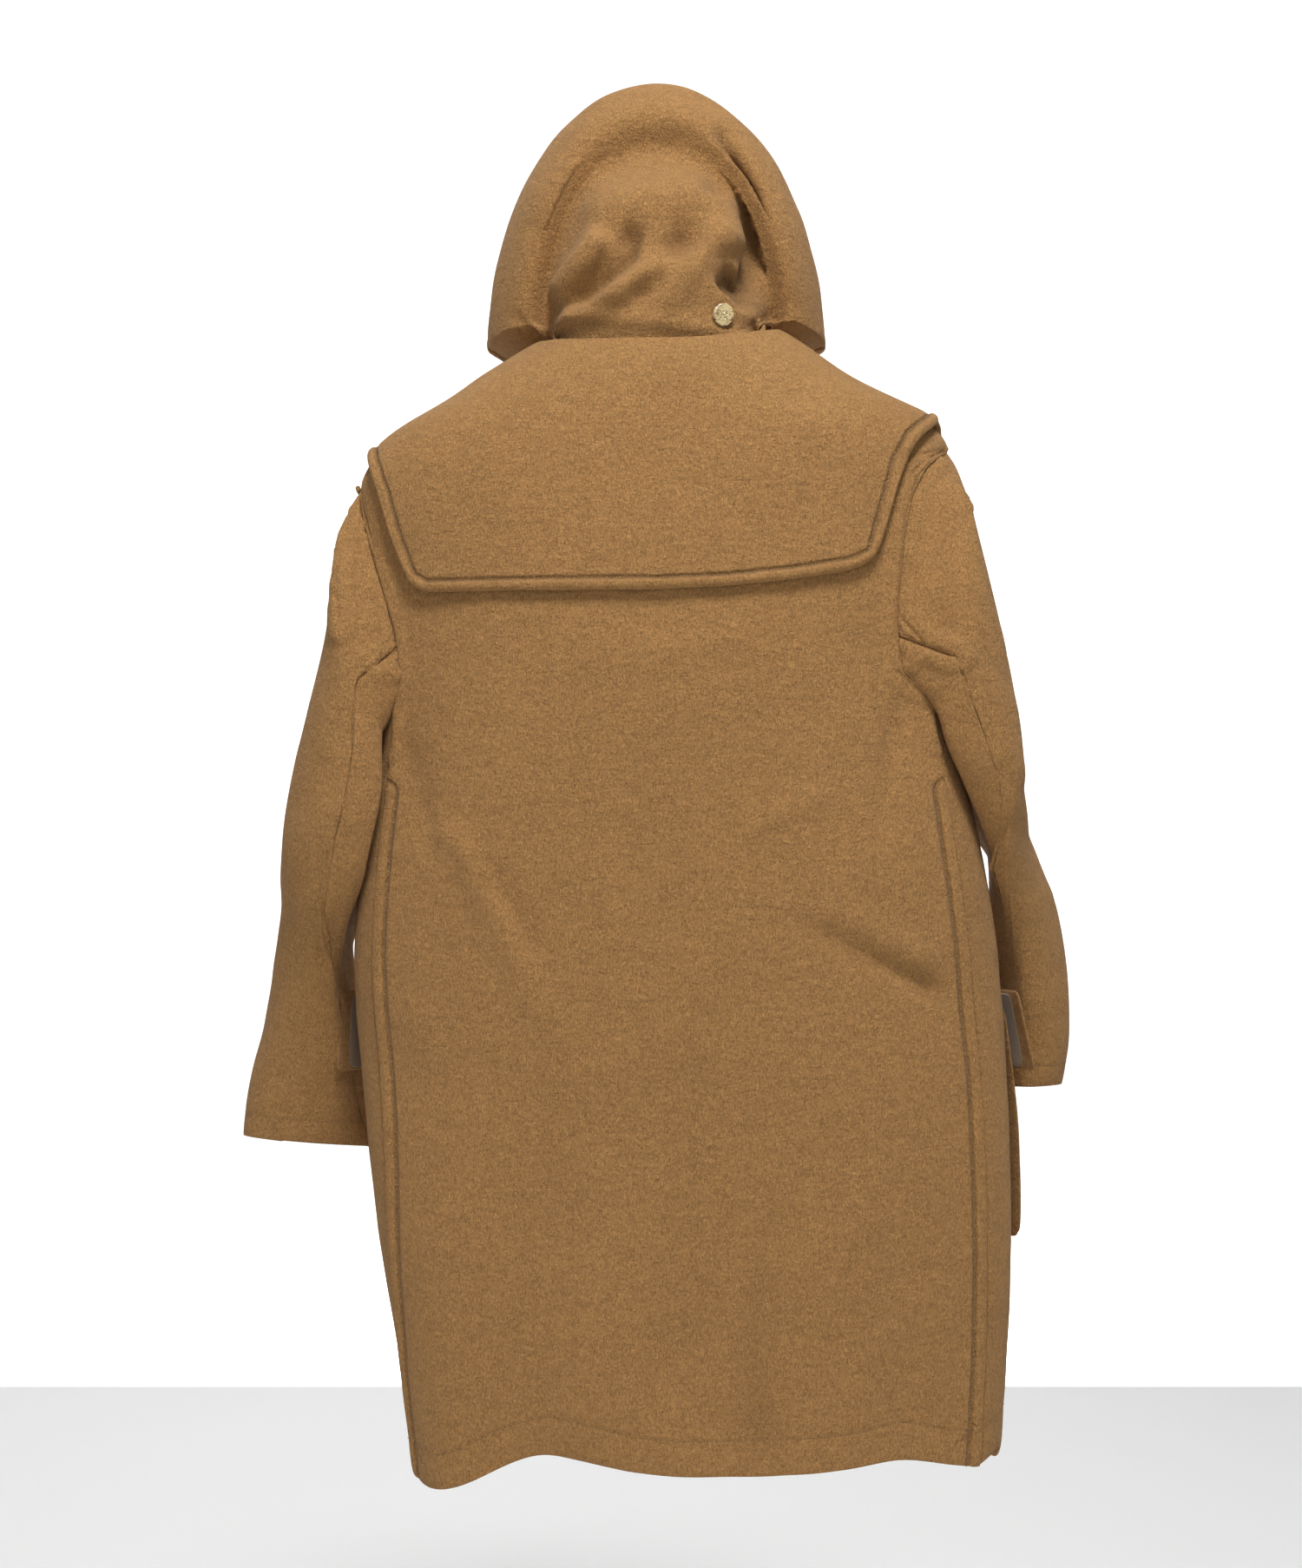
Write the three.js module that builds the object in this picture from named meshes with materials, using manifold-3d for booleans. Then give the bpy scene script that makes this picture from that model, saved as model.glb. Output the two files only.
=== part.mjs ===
// A hooded wool duffle coat in its worn shape: hollow, hood up, front closed.
// Every cloth piece is a wall of its own, cut by its seams.
// Millimetres. +Z is up, the front faces -Y, the wearer's left is +X.
// The origin is the middle of the neck opening, where the wearer's neck and shoulders hold the coat.

import * as THREE from "three";
import { mergeVertices } from "three/addons/utils/BufferGeometryUtils.js";
import Module from "manifold-3d";

const solids = await Module();
solids.setup();

const WOOL = 3; // thickness of the coat cloth
const LINING = 0.8; // thickness of the satin under the pocket flaps
const LEATHER = 1.6; // thickness of the closure patches
const GAP = 0.3; // space between two pieces at a seam
const LAY = 0.8; // space between a piece and the panel it lies on
const LAP_LAY = 1.2; // the same where the left front crosses the right one
const NECK_LAY = 2; // the same between the hood's lower edge and the neck edge around it
const CAPE_LAY = 2.8; // the same under the cape, which bridges the shoulder's curves
const FOLD_EASE = 1.4; // extra height of a turned and topstitched edge

const DEG = Math.PI / 180;
const SHOULDER_TIP = -98; // nominal height of the sleeve head
const ARMPIT = -300; // nominal height of the armhole's lowest point
const HEM = -930; // nominal height of the hem
const FRONT_LAP = 42; // how far each front runs past the centre line

// Rows of numbers under named columns.
function table(columns, rows) {
  return rows.map((row) => Object.fromEntries(columns.map((key, i) => [key, row[i]])));
}

// The body, from the neck ring down to the hem: half-widths to the wearer's left and right, depths behind
// and in front of the axis, how far each side stands above the nominal height, how far the front drops
// below it, where the side seams lie, and how square the ring is (2 is an ellipse).
const LEVELS = table(
  [
    "z", "left", "right", "back", "front",
    "liftLeft", "liftRight", "drop", "seamLeft", "seamRight", "square",
  ],
  [
    [   0,  90,  97, 50, 108,   1, 11, 82,  90,  97,  2.0],
    [ -20, 132, 132, 62, 109,  -4,  8, 78, 132, 132, 2.05],
    [ -40, 174, 166, 69, 108, -13,  5, 68, 174, 166, 2.15],
    [ -57, 208, 204, 73, 107, -15,  5, 58, 208, 204, 2.25],
    [ -75, 230, 232, 77, 106, -17,  7, 48, 228, 231,  2.3],
    [ -98, 243, 243, 80, 105, -18, 13, 38, 240, 240, 2.35],
    [-150, 242, 242, 84, 103, -14, 13, 22, 232, 232,  2.4],
    [-230, 236, 240, 87, 100,  -8,  8,  8, 220, 222,  2.4],
    [-318, 232, 246, 88,  97,  -4,  4,  0, 214, 229,  2.4],
    [-400, 242, 268, 88,  95,   0,  0,  0, 224, 242,  2.4],
    [-504, 251, 285, 86,  94,   0,  0,  0, 231, 256,  2.4],
    [-620, 242, 293, 84,  94,   0,  0,  0, 222, 266, 2.45],
    [-742, 229, 296, 84,  95,   0,  0,  0, 218, 270,  2.5],
    [-850, 210, 292, 87,  97,   0,  0,  0, 206, 268,  2.5],
    [-930, 197, 287, 90,  98,   0,  0,  0, 193, 264,  2.5],
  ],
);

// The armhole: how far from the middle its edge lies on the back, left and right, and at which angle it
// lies on the fronts. Its lowest part runs in to the side seam.
const ARMHOLE = [
  { z: -98, backLeft: 243, backRight: 243, front: 90 },
  { z: -106, backLeft: 242.5, backRight: 228, front: 103 },
  { z: -120, backLeft: 241, backRight: 214, front: 113 },
  { z: -150, backLeft: 235, backRight: 204, front: 122 },
  { z: -190, backLeft: 224, backRight: 199, front: 126 },
  { z: -230, backLeft: 213, backRight: 197, front: 124 },
  { z: -262, backLeft: 209, backRight: 201, front: 119 },
  { z: -300, backLeft: 208, backRight: 210, front: 112 },
];
const ARMHOLE_TURN = -262; // from here down the armhole's edge runs in to the side seam

// Soft folds of the body, each along a line in the back or the front view. Height is outwards, in mm.
const BACK_FOLDS = [
  { x1: 172, z1: -690, x2: 163, z2: -950, width: 36, from: 0, to: 13 }, // flute at the left hem
  { x1: 110, z1: -720, x2: 98, z2: -950, width: 34, from: 0, to: -13 }, // hollow beside it
  { x1: 8, z1: -760, x2: -60, z2: -950, width: 90, from: 0, to: 4 },
  { x1: -205, z1: -790, x2: -208, z2: -950, width: 30, from: 0, to: -8 }, // hollow at the right hem
  { x1: 165, z1: -390, x2: 78, z2: -590, width: 17, from: 2, to: 3 },
  { x1: -132, z1: -474, x2: -250, z2: -545, width: 15, from: -2, to: -4 },
  { x1: -182, z1: -250, x2: -178, z2: -400, width: 26, from: -5, to: -2 },
];
const FRONT_FOLDS = [
  { x1: 160, z1: -660, x2: 176, z2: -950, width: 38, from: 0, to: 10 },
  { x1: 100, z1: -700, x2: 96, z2: -950, width: 34, from: 0, to: -9 },
  { x1: -130, z1: -700, x2: -138, z2: -950, width: 36, from: 0, to: -8 },
  { x1: -200, z1: -660, x2: -214, z2: -950, width: 36, from: 0, to: 8 },
  { x1: 150, z1: -190, x2: 120, z2: -330, width: 24, from: -4, to: -1 },
  { x1: -150, z1: -190, x2: -122, z2: -330, width: 24, from: -4, to: -1 },
];

// How the hem runs: the height it hangs below the nominal hem, by place across the back view.
const HEM_DIP = [
  { x: -287, dip: -26 },
  { x: -270, dip: -11 },
  { x: -240, dip: -14 },
  { x: -200, dip: -23 },
  { x: -140, dip: -13 },
  { x: 0, dip: -12 },
  { x: 50, dip: -23 },
  { x: 92, dip: -30 },
  { x: 130, dip: -14 },
  { x: 158, dip: 3 },
  { x: 178, dip: 6 },
  { x: 197, dip: -5 },
];

// The hood, as arches from the face edge back over the crown and down to the neck seam. Each arch runs
// from the throat up one side, over the top and down the other: half-widths, and the depth and height of
// its top and its sides. The back has slumped, so a valley lies behind the crown.
const HOOD_ARCHES = table(
  ["at", "left", "right", "topY", "topZ", "sideY", "sideZ"],
  [
    [ 0.0, 138, 141, -112, 212, -112,  8],
    [ 0.1, 145, 147,  -90, 226,  -92,  8],
    [0.24, 142, 144,  -50, 233,  -58, 12],
    [0.36, 125, 128,  -12, 219,  -28, 20],
    [0.45, 106, 112,    6, 194,  -16, 25],
    [0.53,  92,  98,   -8, 170,  -30, 22],
    [0.61,  83,  88,    8, 148,   -8, 18],
    [ 0.7,  78,  84,   36, 112,    6, 12],
    [0.84,  80,  85,   52,  52,   -8,  6],
    [ 1.0,  84,  90,   46,  10,  -20,  4],
  ],
);
const NECK_TUCK = 5; // how far the hood's lower edge reaches below the neck edge
const HOOD_SIDE = 90 * DEG; // from its sides an arch curves in to the neck edge
const HOOD_END = 162 * DEG; // and meets it here
const NECK_RISE = 16; // height at which an arch is over the neck edge, before it drops into it
// Columns of the hood's grid, from the middle of each arch to its end.
const HOOD_COLUMNS = [0, 13, 26, 39, 52, 65, 78, 90, 104, 118, 130, 141, 152, 162];
// Folds of the slumped hood back, along lines in the back view. Height is backwards, in mm.
const HOOD_FOLDS = [
  { x1: 26, z1: 86, x2: 60, z2: 32, width: 9, from: -12, to: -9 },
  { x1: -34, z1: 96, x2: 10, z2: 42, width: 13, from: -8, to: -9 },
  { x1: -74, z1: 78, x2: -60, z2: 56, width: 8, from: -10, to: -9 },
  { x1: 14, z1: 80, x2: 56, z2: 26, width: 9, from: 5, to: 6 },
];

// The sleeves, from the sleeve head down to the cuff: the outer and the inner end of each section, and
// how far it stands out behind and in front of the line between them. The first section is the armhole.
const SLEEVE_LEFT = table(
  ["at", "outerX", "outerY", "outerZ", "innerX", "innerY", "innerZ", "back", "front"],
  [
    [0.12, 249,  14, -160, 216,   36, -322, 40, 84],
    [0.24, 258,  16, -222, 216,   42, -350, 36, 84],
    [0.38, 282,  14, -302, 222,   42, -396, 34, 82],
    [ 0.5, 298,   8, -374, 236,   34, -436, 32, 76],
    [0.62, 311,  -4, -442, 254,    6, -484, 40, 66],
    [0.76, 326, -24, -534, 250,  -58, -560, 40, 46],
    [ 0.9, 340, -34, -632, 232, -100, -650, 38, 42],
    [ 1.0, 347, -38, -671, 226, -110, -685, 38, 42],
  ],
);
const SLEEVE_RIGHT = table(
  ["at", "outerX", "outerY", "outerZ", "innerX", "innerY", "innerZ", "back", "front"],
  [
    [0.12, -247,  14, -130, -216,   38, -308, 42, 84],
    [0.24, -268,  16, -200, -230,   40, -334, 36, 84],
    [0.38, -286,  12, -282, -252,   32, -372, 34, 80],
    [ 0.5, -299,   4, -350, -270,   12, -408, 36, 74],
    [0.62, -314, -12, -420, -280,  -24, -450, 42, 62],
    [0.76, -337, -34, -506, -278,  -84, -520, 42, 44],
    [ 0.9, -342, -46, -590, -268, -112, -596, 38, 40],
    [ 1.0, -335, -52, -630, -264, -120, -634, 38, 40],
  ],
);
const SLEEVE_CLEAR = 9; // space kept between a sleeve and the body it hangs against
const CUFF_CLEAR = 26; // the same where the pocket flap stands out

// The pockets and their flaps: shares of the way across each front, from the side seam, and heights.
const POCKET = {
  top: -545, bottom: -742, inner: 0.87, outerLeft: 0.4, outerRight: 0.32, standLeft: 2, standRight: 7,
};
const FLAP = { top: -534, bottom: -602, inner: 0.89, outerLeft: 0.33, outerRight: 0.27, out: 9.6, curl: 12 };
const FLAP_LINING_INSET = 0.05;

// The closures: a toggle, its own cord, the loop that takes it and two patches at each of these heights.
const CLOSURES = [
  { name: "1", z: -226 },
  { name: "2", z: -366 },
  { name: "3", z: -506 },
];
const TOGGLE = { x: -40, out: 18.5, half: 26, radius: 6.4, waist: 4, tip: 3.2 };
const CORD_RADIUS = 1.8;
const PATCH = { near: 74, far: 102, half: 15, tip: 8 };

// The horn button on the back of the hood, sewn through four holes.
const BUTTON = { x: -54, z: 22, radius: 9.5, thick: 3.2, hole: 1.1, holeAt: 2.6, stand: 0.9 };

const COLOURS = {
  wool: { color: 0xa67c4b, roughness: 0.95, metalness: 0 },
  satin: { color: 0x8c7868, roughness: 0.45, metalness: 0 },
  leather: { color: 0x5b3a22, roughness: 0.6, metalness: 0 },
  cord: { color: 0x4a3220, roughness: 0.8, metalness: 0 },
  horn: { color: 0x6b4a2c, roughness: 0.35, metalness: 0 },
  paleHorn: { color: 0xd8c890, roughness: 0.35, metalness: 0 },
};

const coat = new THREE.Group();

// A smooth curve through a table's column, with no overshoot between its rows.
function curveThrough(rows, key, column) {
  const sorted = [...rows].sort((a, b) => a[key] - b[key]);
  const xs = sorted.map((row) => row[key]);
  const ys = sorted.map((row) => row[column]);
  const last = xs.length - 1;
  const steps = xs.slice(1).map((x, i) => (ys[i + 1] - ys[i]) / (x - xs[i]));
  const slopes = ys.map((_, i) => {
    if (i === 0) return steps[0];
    if (i === last) return steps[last - 1];
    const product = steps[i - 1] * steps[i];
    return product <= 0 ? 0 : (2 * product) / (steps[i - 1] + steps[i]);
  });
  return (x) => {
    const clamped = Math.min(Math.max(x, xs[0]), xs[last]);
    let i = 0;
    while (i < last - 1 && clamped > xs[i + 1]) i += 1;
    const span = xs[i + 1] - xs[i];
    const t = (clamped - xs[i]) / span;
    const start = (1 + 2 * t) * (1 - t) ** 2 * ys[i] + t * (1 - t) ** 2 * span * slopes[i];
    const end = t * t * (3 - 2 * t) * ys[i + 1] + t * t * (t - 1) * span * slopes[i + 1];
    return start + end;
  };
}

function curvesThrough(rows, key) {
  const columns = Object.keys(rows[0]).filter((column) => column !== key);
  const curves = columns.map((column) => [column, curveThrough(rows, key, column)]);
  return (x) => Object.fromEntries(curves.map(([column, curve]) => [column, curve(x)]));
}

// A soft step from 0 to 1, as x goes from one value to the other, up or down.
function smooth(from, to, x) {
  const t = THREE.MathUtils.clamp((x - from) / (to - from), 0, 1);
  return t * t * (3 - 2 * t);
}

const levelAt = curvesThrough(LEVELS, "z");
const armholeRow = curvesThrough(ARMHOLE, "z");
const hemDipAt = curveThrough(HEM_DIP, "x", "dip");
const archAt = curvesThrough(HOOD_ARCHES, "at");

// The sum of some folds' heights at a place in the view that they are drawn in.
function foldHeight(folds, x, z) {
  return folds.reduce((sum, fold) => {
    const dx = fold.x2 - fold.x1;
    const dz = fold.z2 - fold.z1;
    const along = ((x - fold.x1) * dx + (z - fold.z1) * dz) / (dx * dx + dz * dz);
    const t = Math.min(Math.max(along, 0), 1);
    const distance = Math.hypot(x - fold.x1 - t * dx, z - fold.z1 - t * dz);
    const height = fold.from + (fold.to - fold.from) * t;
    return sum + height * Math.exp(-((distance / fold.width) ** 2));
  }, 0);
}

// A point of the body's outer face. The angle is 0 at the middle of the back and grows to the wearer's left.
function bodyAt(z, angle) {
  const level = levelAt(z);
  const s = Math.sin(angle);
  const c = Math.cos(angle);
  const reach = (Math.abs(s) ** level.square + Math.abs(c) ** level.square) ** (-1 / level.square);
  const half = s >= 0 ? level.left : level.right;
  const depth = c >= 0 ? level.back : level.front;
  const x = half * s * reach;
  const y = depth * c * reach;
  const normal = new THREE.Vector2(s / half, c / depth).normalize();
  const folds = c >= 0 ? BACK_FOLDS : FRONT_FOLDS;
  const height = foldHeight(folds, x, z) * smooth(0, 0.35, Math.abs(c));
  const lift = s * s * (s >= 0 ? level.liftLeft : level.liftRight);
  const drop = c < 0 ? c * c * level.drop : 0;
  const dip = hemDipAt(c >= 0 ? x : -x * 0.8) * smooth(-720, HEM, z);
  return new THREE.Vector3(x + normal.x * height, y + normal.y * height, z + lift - drop - dip);
}

// The angle at which the body's ring passes a place x, on its back or its front.
function angleAt(z, x, onFront) {
  const level = levelAt(z);
  const half = x >= 0 ? level.left : level.right;
  const across = Math.min(Math.abs(x) / half, 1);
  const along = (1 - across ** level.square) ** (1 / level.square);
  const angle = Math.atan2(across, along);
  return Math.sign(x || 1) * (onFront ? Math.PI - angle : angle);
}

// A surface's outward normal, by small steps in its two parameters.
function normalOf(surface, u, v, stepU, stepV) {
  const alongU = surface(u + stepU, v).sub(surface(u - stepU, v));
  const alongV = surface(u, v + stepV).sub(surface(u, v - stepV));
  return alongU.cross(alongV).normalize();
}

const bodyNormal = (z, angle) => normalOf(bodyAt, z, angle, 2, 0.01);
const onBody = (z, angle, out = 0) => ({ point: bodyAt(z, angle), normal: bodyNormal(z, angle), out });

// The angle of the side seam at a height; on the wearer's right it is below zero.
function seamAngle(z, side) {
  const level = levelAt(z);
  return angleAt(z, side > 0 ? level.seamLeft : -level.seamRight, false);
}

// The angle of a panel's edge at a height: side seam, armhole or shoulder seam.
function sideAngle(z, side, onFront) {
  if (z >= SHOULDER_TIP) return side * 90 * DEG;
  if (z <= ARMPIT) return seamAngle(z, side);
  const row = armholeRow(z);
  const edge = onFront ? side * row.front * DEG : angleAt(z, side > 0 ? row.backLeft : -row.backRight, false);
  const turned = smooth(onFront ? ARMHOLE_TURN : ARMHOLE_TURN - 14, ARMPIT, z);
  return edge + (seamAngle(ARMPIT, side) - edge) * turned;
}

// The angle that half a seam's gap takes at a place on the body.
function seamTrim(z, angle) {
  return GAP / 2 / (bodyAt(z, angle + 0.005).distanceTo(bodyAt(z, angle - 0.005)) / 0.01);
}

const steps = (count) => Array.from({ length: count + 1 }, (_, i) => i / count);

// Walls by name, each grown by the seam gap, for cutting a neighbour back from it.
const grownWalls = {};

function solidOf(geometry) {
  const merged = mergeVertices(geometry, 1e-3);
  const vertProperties = merged.getAttribute("position").array;
  const triVerts = new Uint32Array(merged.getIndex().array);
  return new solids.Manifold(new solids.Mesh({ numProp: 3, vertProperties, triVerts }));
}

// Adds a cloth piece, cut back where it would come closer than the seam gap to the named neighbours.
function addWall(name, us, vs, place, { thickness = WOOL, raised, colour = "wool", clearOf = [] } = {}) {
  const geometry = wallGeometry(us, vs, place, thickness, raised);
  const plain = solidOf(geometry);
  const ways = [-GAP, GAP].flatMap((step) => [[step, 0, 0], [0, step, 0], [0, 0, step]]);
  grownWalls[name] = solids.Manifold.union(ways.map((way) => plain.translate(way)));
  if (clearOf.length === 0) return add(name, geometry, colour);
  const cut = clearOf.reduce((solid, other) => solid.subtract(grownWalls[other]), solidOf(geometry));
  const [main] = cut.decompose().sort((a, b) => b.volume() - a.volume());
  const mesh = main.getMesh();
  return add(name, facingOut([...mesh.vertProperties], [...mesh.triVerts]), colour);
}

// A closed wall over a grid. Each place gives a point, its outward normal and how far out the face lies;
// the outer face may be raised, and the inner face stays plain.
function wallGeometry(us, vs, place, thickness, raised = () => 0) {
  const positions = [];
  const rows = us.length;
  const columns = vs.length;
  us.forEach((u) =>
    vs.forEach((v) => {
      const { point, normal, out } = place(u, v);
      const outer = point.clone().addScaledVector(normal, out + raised(u, v));
      const inner = point.clone().addScaledVector(normal, out - thickness);
      positions.push(...outer.toArray(), ...inner.toArray());
    }),
  );
  const outer = (i, j) => 2 * (i * columns + j);
  const inner = (i, j) => outer(i, j) + 1;
  const faces = [];
  const quad = (a, b, c, d) => faces.push(a, b, c, a, c, d);
  for (let i = 0; i < rows - 1; i += 1) {
    for (let j = 0; j < columns - 1; j += 1) {
      quad(outer(i, j), outer(i + 1, j), outer(i + 1, j + 1), outer(i, j + 1));
      quad(inner(i, j), inner(i, j + 1), inner(i + 1, j + 1), inner(i + 1, j));
    }
    quad(outer(i, 0), inner(i, 0), inner(i + 1, 0), outer(i + 1, 0));
    quad(outer(i, columns - 1), outer(i + 1, columns - 1), inner(i + 1, columns - 1), inner(i, columns - 1));
  }
  for (let j = 0; j < columns - 1; j += 1) {
    quad(outer(0, j), outer(0, j + 1), inner(0, j + 1), inner(0, j));
    quad(outer(rows - 1, j), inner(rows - 1, j), inner(rows - 1, j + 1), outer(rows - 1, j + 1));
  }
  return facingOut(positions, faces);
}

// A geometry from points and faces, turned so that its volume is positive.
function facingOut(positions, faces) {
  const at = (i) => new THREE.Vector3().fromArray(positions, 3 * i);
  let volume = 0;
  for (let i = 0; i < faces.length; i += 3) {
    volume += at(faces[i]).dot(at(faces[i + 1]).cross(at(faces[i + 2])));
  }
  if (volume < 0) faces.reverse();
  const geometry = new THREE.BufferGeometry();
  geometry.setAttribute("position", new THREE.Float32BufferAttribute(positions, 3));
  geometry.setIndex(faces);
  return geometry;
}

function add(name, geometry, colour) {
  const mesh = new THREE.Mesh(geometry, new THREE.MeshStandardMaterial(COLOURS[colour]));
  mesh.name = name;
  coat.add(mesh);
  return mesh;
}

// Heights of the body's rows, closer where the shoulders turn.
const BODY_ROWS = [
  -930, -900, -850, -795, -742, -690, -640, -590, -545, -500, -455, -410, -370, -330, ARMPIT, -288, -275,
  ARMHOLE_TURN, -230, -190, -150, -120, -106, SHOULDER_TIP, -86, -74, -62, -50, -36, -19, 0,
];
// Shares of the way across the back; the outermost ones carry the raised lap of the side seam.
const BACK_COLUMNS = [
  0, 0.022, 0.026, 0.08, 0.15, 0.22, 0.29, 0.36, 0.43, 0.5, 0.57, 0.64, 0.71, 0.78, 0.85, 0.92,
  0.974, 0.978, 1,
];
// Shares of the way from a front's side seam to its lap, then places across the lap.
const FRONT_SHARES = [0, 0.1, 0.21, 0.32, 0.4, 0.48, 0.56, 0.65, 0.76, 0.87];
const LAP_PLACES = [FRONT_LAP, 14, -14, -FRONT_LAP];

function makeBack() {
  const place = (z, t) => {
    const right = sideAngle(z, -1, false);
    const left = sideAngle(z, 1, false);
    const from = right + seamTrim(z, right);
    const to = left - seamTrim(z, left);
    return onBody(z, from + (to - from) * t);
  };
  const raised = (z, t) => (z < SHOULDER_TIP - 4 && Math.abs(t - 0.5) > 0.477 ? FOLD_EASE : 0);
  addWall("back", BODY_ROWS, BACK_COLUMNS, place, { raised });
}

// How far out a front's face lies at a place across it: the left one rises to cross over the right one.
function frontOut(side, x) {
  return side > 0 ? (WOOL + LAP_LAY) * (1 - smooth(FRONT_LAP + 6, 110, x)) : 0;
}

// The angle at a share of the way across a front, from its side seam.
function frontAngle(z, side, share) {
  const seam = sideAngle(z, side, true);
  const start = seam + side * seamTrim(z, seam);
  return start + (angleAt(z, side * FRONT_LAP, true) - start) * share;
}

function makeFront(name, side) {
  const columns = [...FRONT_SHARES, ...LAP_PLACES];
  const place = (z, column) => {
    if (Math.abs(column) < 1) {
      const angle = frontAngle(z, side, column);
      return onBody(z, angle, frontOut(side, side * bodyAt(z, angle).x));
    }
    const crossed = angleAt(z, side * column, true);
    const angle = crossed * side < 0 ? crossed + side * 2 * Math.PI : crossed;
    return onBody(z, angle, frontOut(side, column));
  };
  addWall(name, BODY_ROWS, columns, place, { clearOf: side > 0 ? ["front_right"] : [] });
}

// The cape over the shoulders: how low its edge hangs, by place round the body.
const CAPE_EDGE = [
  { angle: -180, low: -198 },
  { angle: -140, low: -196 },
  { angle: -132, low: -186 },
  { angle: -127, low: -148 },
  { angle: -121, low: -118 },
  { angle: -112, low: -95 },
  { angle: -102, low: -84 },
  { angle: -90, low: -72 },
  { angle: -70, low: -78 },
  { angle: -56, low: -92 },
  { angle: -51, low: -110 },
  { angle: -47, low: -150 },
  { angle: -44, low: -186 },
  { angle: -38, low: -194 },
  { angle: 0, low: -206 },
  { angle: 47, low: -202 },
  { angle: 52, low: -192 },
  { angle: 57, low: -150 },
  { angle: 61, low: -115 },
  { angle: 66, low: -95 },
  { angle: 74, low: -84 },
  { angle: 90, low: -76 },
  { angle: 102, low: -84 },
  { angle: 112, low: -95 },
  { angle: 121, low: -118 },
  { angle: 127, low: -148 },
  { angle: 132, low: -186 },
  { angle: 140, low: -196 },
  { angle: 180, low: -198 },
];
const CAPE_ANGLES = [
  -168, -156, -143, -132, -127, -121, -112, -104, -98, -94, -90, -86, -80, -70, -62, -56, -51, -47, -44,
  -38, -26,
  -13, 0, 13, 26, 39, 47, 52, 57, 61, 66, 74, 80, 86, 90, 94, 98, 104, 112, 121, 127, 132, 143, 156, 168,
];
const capeLow = curveThrough(CAPE_EDGE, "angle", "low");

function makeCape() {
  const rowShare = [0, 0.09, 0.19, 0.3, 0.42, 0.55, 0.69, 0.83, 0.93, 0.955, 1];
  const place = (share, degrees) => {
    const overLap = (WOOL + LAP_LAY) * smooth(118, 150, Math.abs(degrees));
    const overRidge = 1.2 * (1 - smooth(4, 20, Math.abs(Math.abs(degrees) - 92)));
    return onBody(capeLow(degrees) * share, degrees * DEG, CAPE_LAY + WOOL + overLap + overRidge);
  };
  const raised = (share) => (share > 0.95 ? FOLD_EASE : 0);
  addWall("yoke_cape", rowShare, CAPE_ANGLES, place, {
    raised,
    clearOf: ["back", "front_left", "front_right"],
  });
}

// The line that the hood is sewn to, just inside the body's neck edge.
function neckAt(angle) {
  const inwards = bodyNormal(-6, angle).setZ(0).normalize();
  const inset = WOOL + NECK_LAY + 1.6 * smooth(130 * DEG, 150 * DEG, Math.abs(angle));
  return bodyAt(0, angle).addScaledVector(inwards, -inset);
}

// A point of the hood. The angle is 0 at an arch's top and grows to the wearer's left; the first arch lands
// on the neck line at the throat, the later ones further back.
function hoodAt(at, angle) {
  const arch = archAt(at);
  const turned = Math.min(Math.abs(angle), HOOD_SIDE);
  const s = Math.sin(turned) * Math.sign(angle);
  const c = Math.cos(turned);
  const x = (s >= 0 ? arch.left : arch.right) * s;
  const z = arch.sideZ + (arch.topZ - arch.sideZ) * c;
  const slumped = smooth(0.5, 0.64, at) * (1 - smooth(0.84, 0.93, at)) * smooth(0, 0.2, c);
  const y = arch.sideY + (arch.topY - arch.sideY) * c + slumped * foldHeight(HOOD_FOLDS, x, z);
  const point = new THREE.Vector3(x, y, z);
  const neck = neckAt((angle / HOOD_END) * (168 * DEG - 72 * DEG * Math.min(at, 1)));
  const under = Math.max((Math.abs(angle) - HOOD_SIDE) / (HOOD_END - HOOD_SIDE), 0);
  const over = Math.max(Math.min((1 - Math.cos(under * HOOD_SIDE)) / 0.78, 1), smooth(0.84, 0.94, at));
  const down = Math.max(Math.sin(Math.min(under / 0.86, 1) * HOOD_SIDE), smooth(0.84, 0.94, at));
  const rise = NECK_RISE * (1 - smooth(0.8, 1, at));
  point.x += (neck.x - point.x) * over;
  point.y += (neck.y - point.y) * over;
  point.z += (neck.z + rise - point.z) * down;
  const tucked = Math.max(smooth(0.86, 1, under), smooth(0.94, 1, at));
  point.z -= (rise + NECK_TUCK) * tucked;
  return point;
}

const onHood = (at, angle, out = 0) => ({
  point: hoodAt(at, angle),
  normal: normalOf(hoodAt, at, angle, 0.01, 0.01).negate(),
  out,
});

function makeHood() {
  const rows = [
    0, 0.05, 0.07, 0.15, 0.24, 0.33, 0.4, 0.45, 0.49, 0.53, 0.57, 0.62, 0.68, 0.75, 0.82, 0.88, 0.945, 1,
  ];
  const half = HOOD_COLUMNS.slice(1).map((degrees) => degrees * DEG);
  const columns = [...half.map((angle) => -angle).reverse(), 0, ...half];
  const raised = (at) => (at < 0.06 ? FOLD_EASE : 0);
  const clearOf = ["back", "front_left", "front_right", "yoke_cape"];
  addWall("hood", rows, columns, onHood, { raised, clearOf });
}

// A point of the armhole's edge on the body, with the body's normal there. The angle is 0 at the sleeve
// head and 90 degrees behind the arm.
function armholeAt(side, around) {
  const onFront = Math.sin(around) < 0;
  const z = SHOULDER_TIP + ((ARMPIT - SHOULDER_TIP) * (1 - Math.cos(around))) / 2;
  const angle = sideAngle(z, side, onFront);
  return { point: bodyAt(z, angle), normal: bodyNormal(z, angle) };
}

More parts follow.
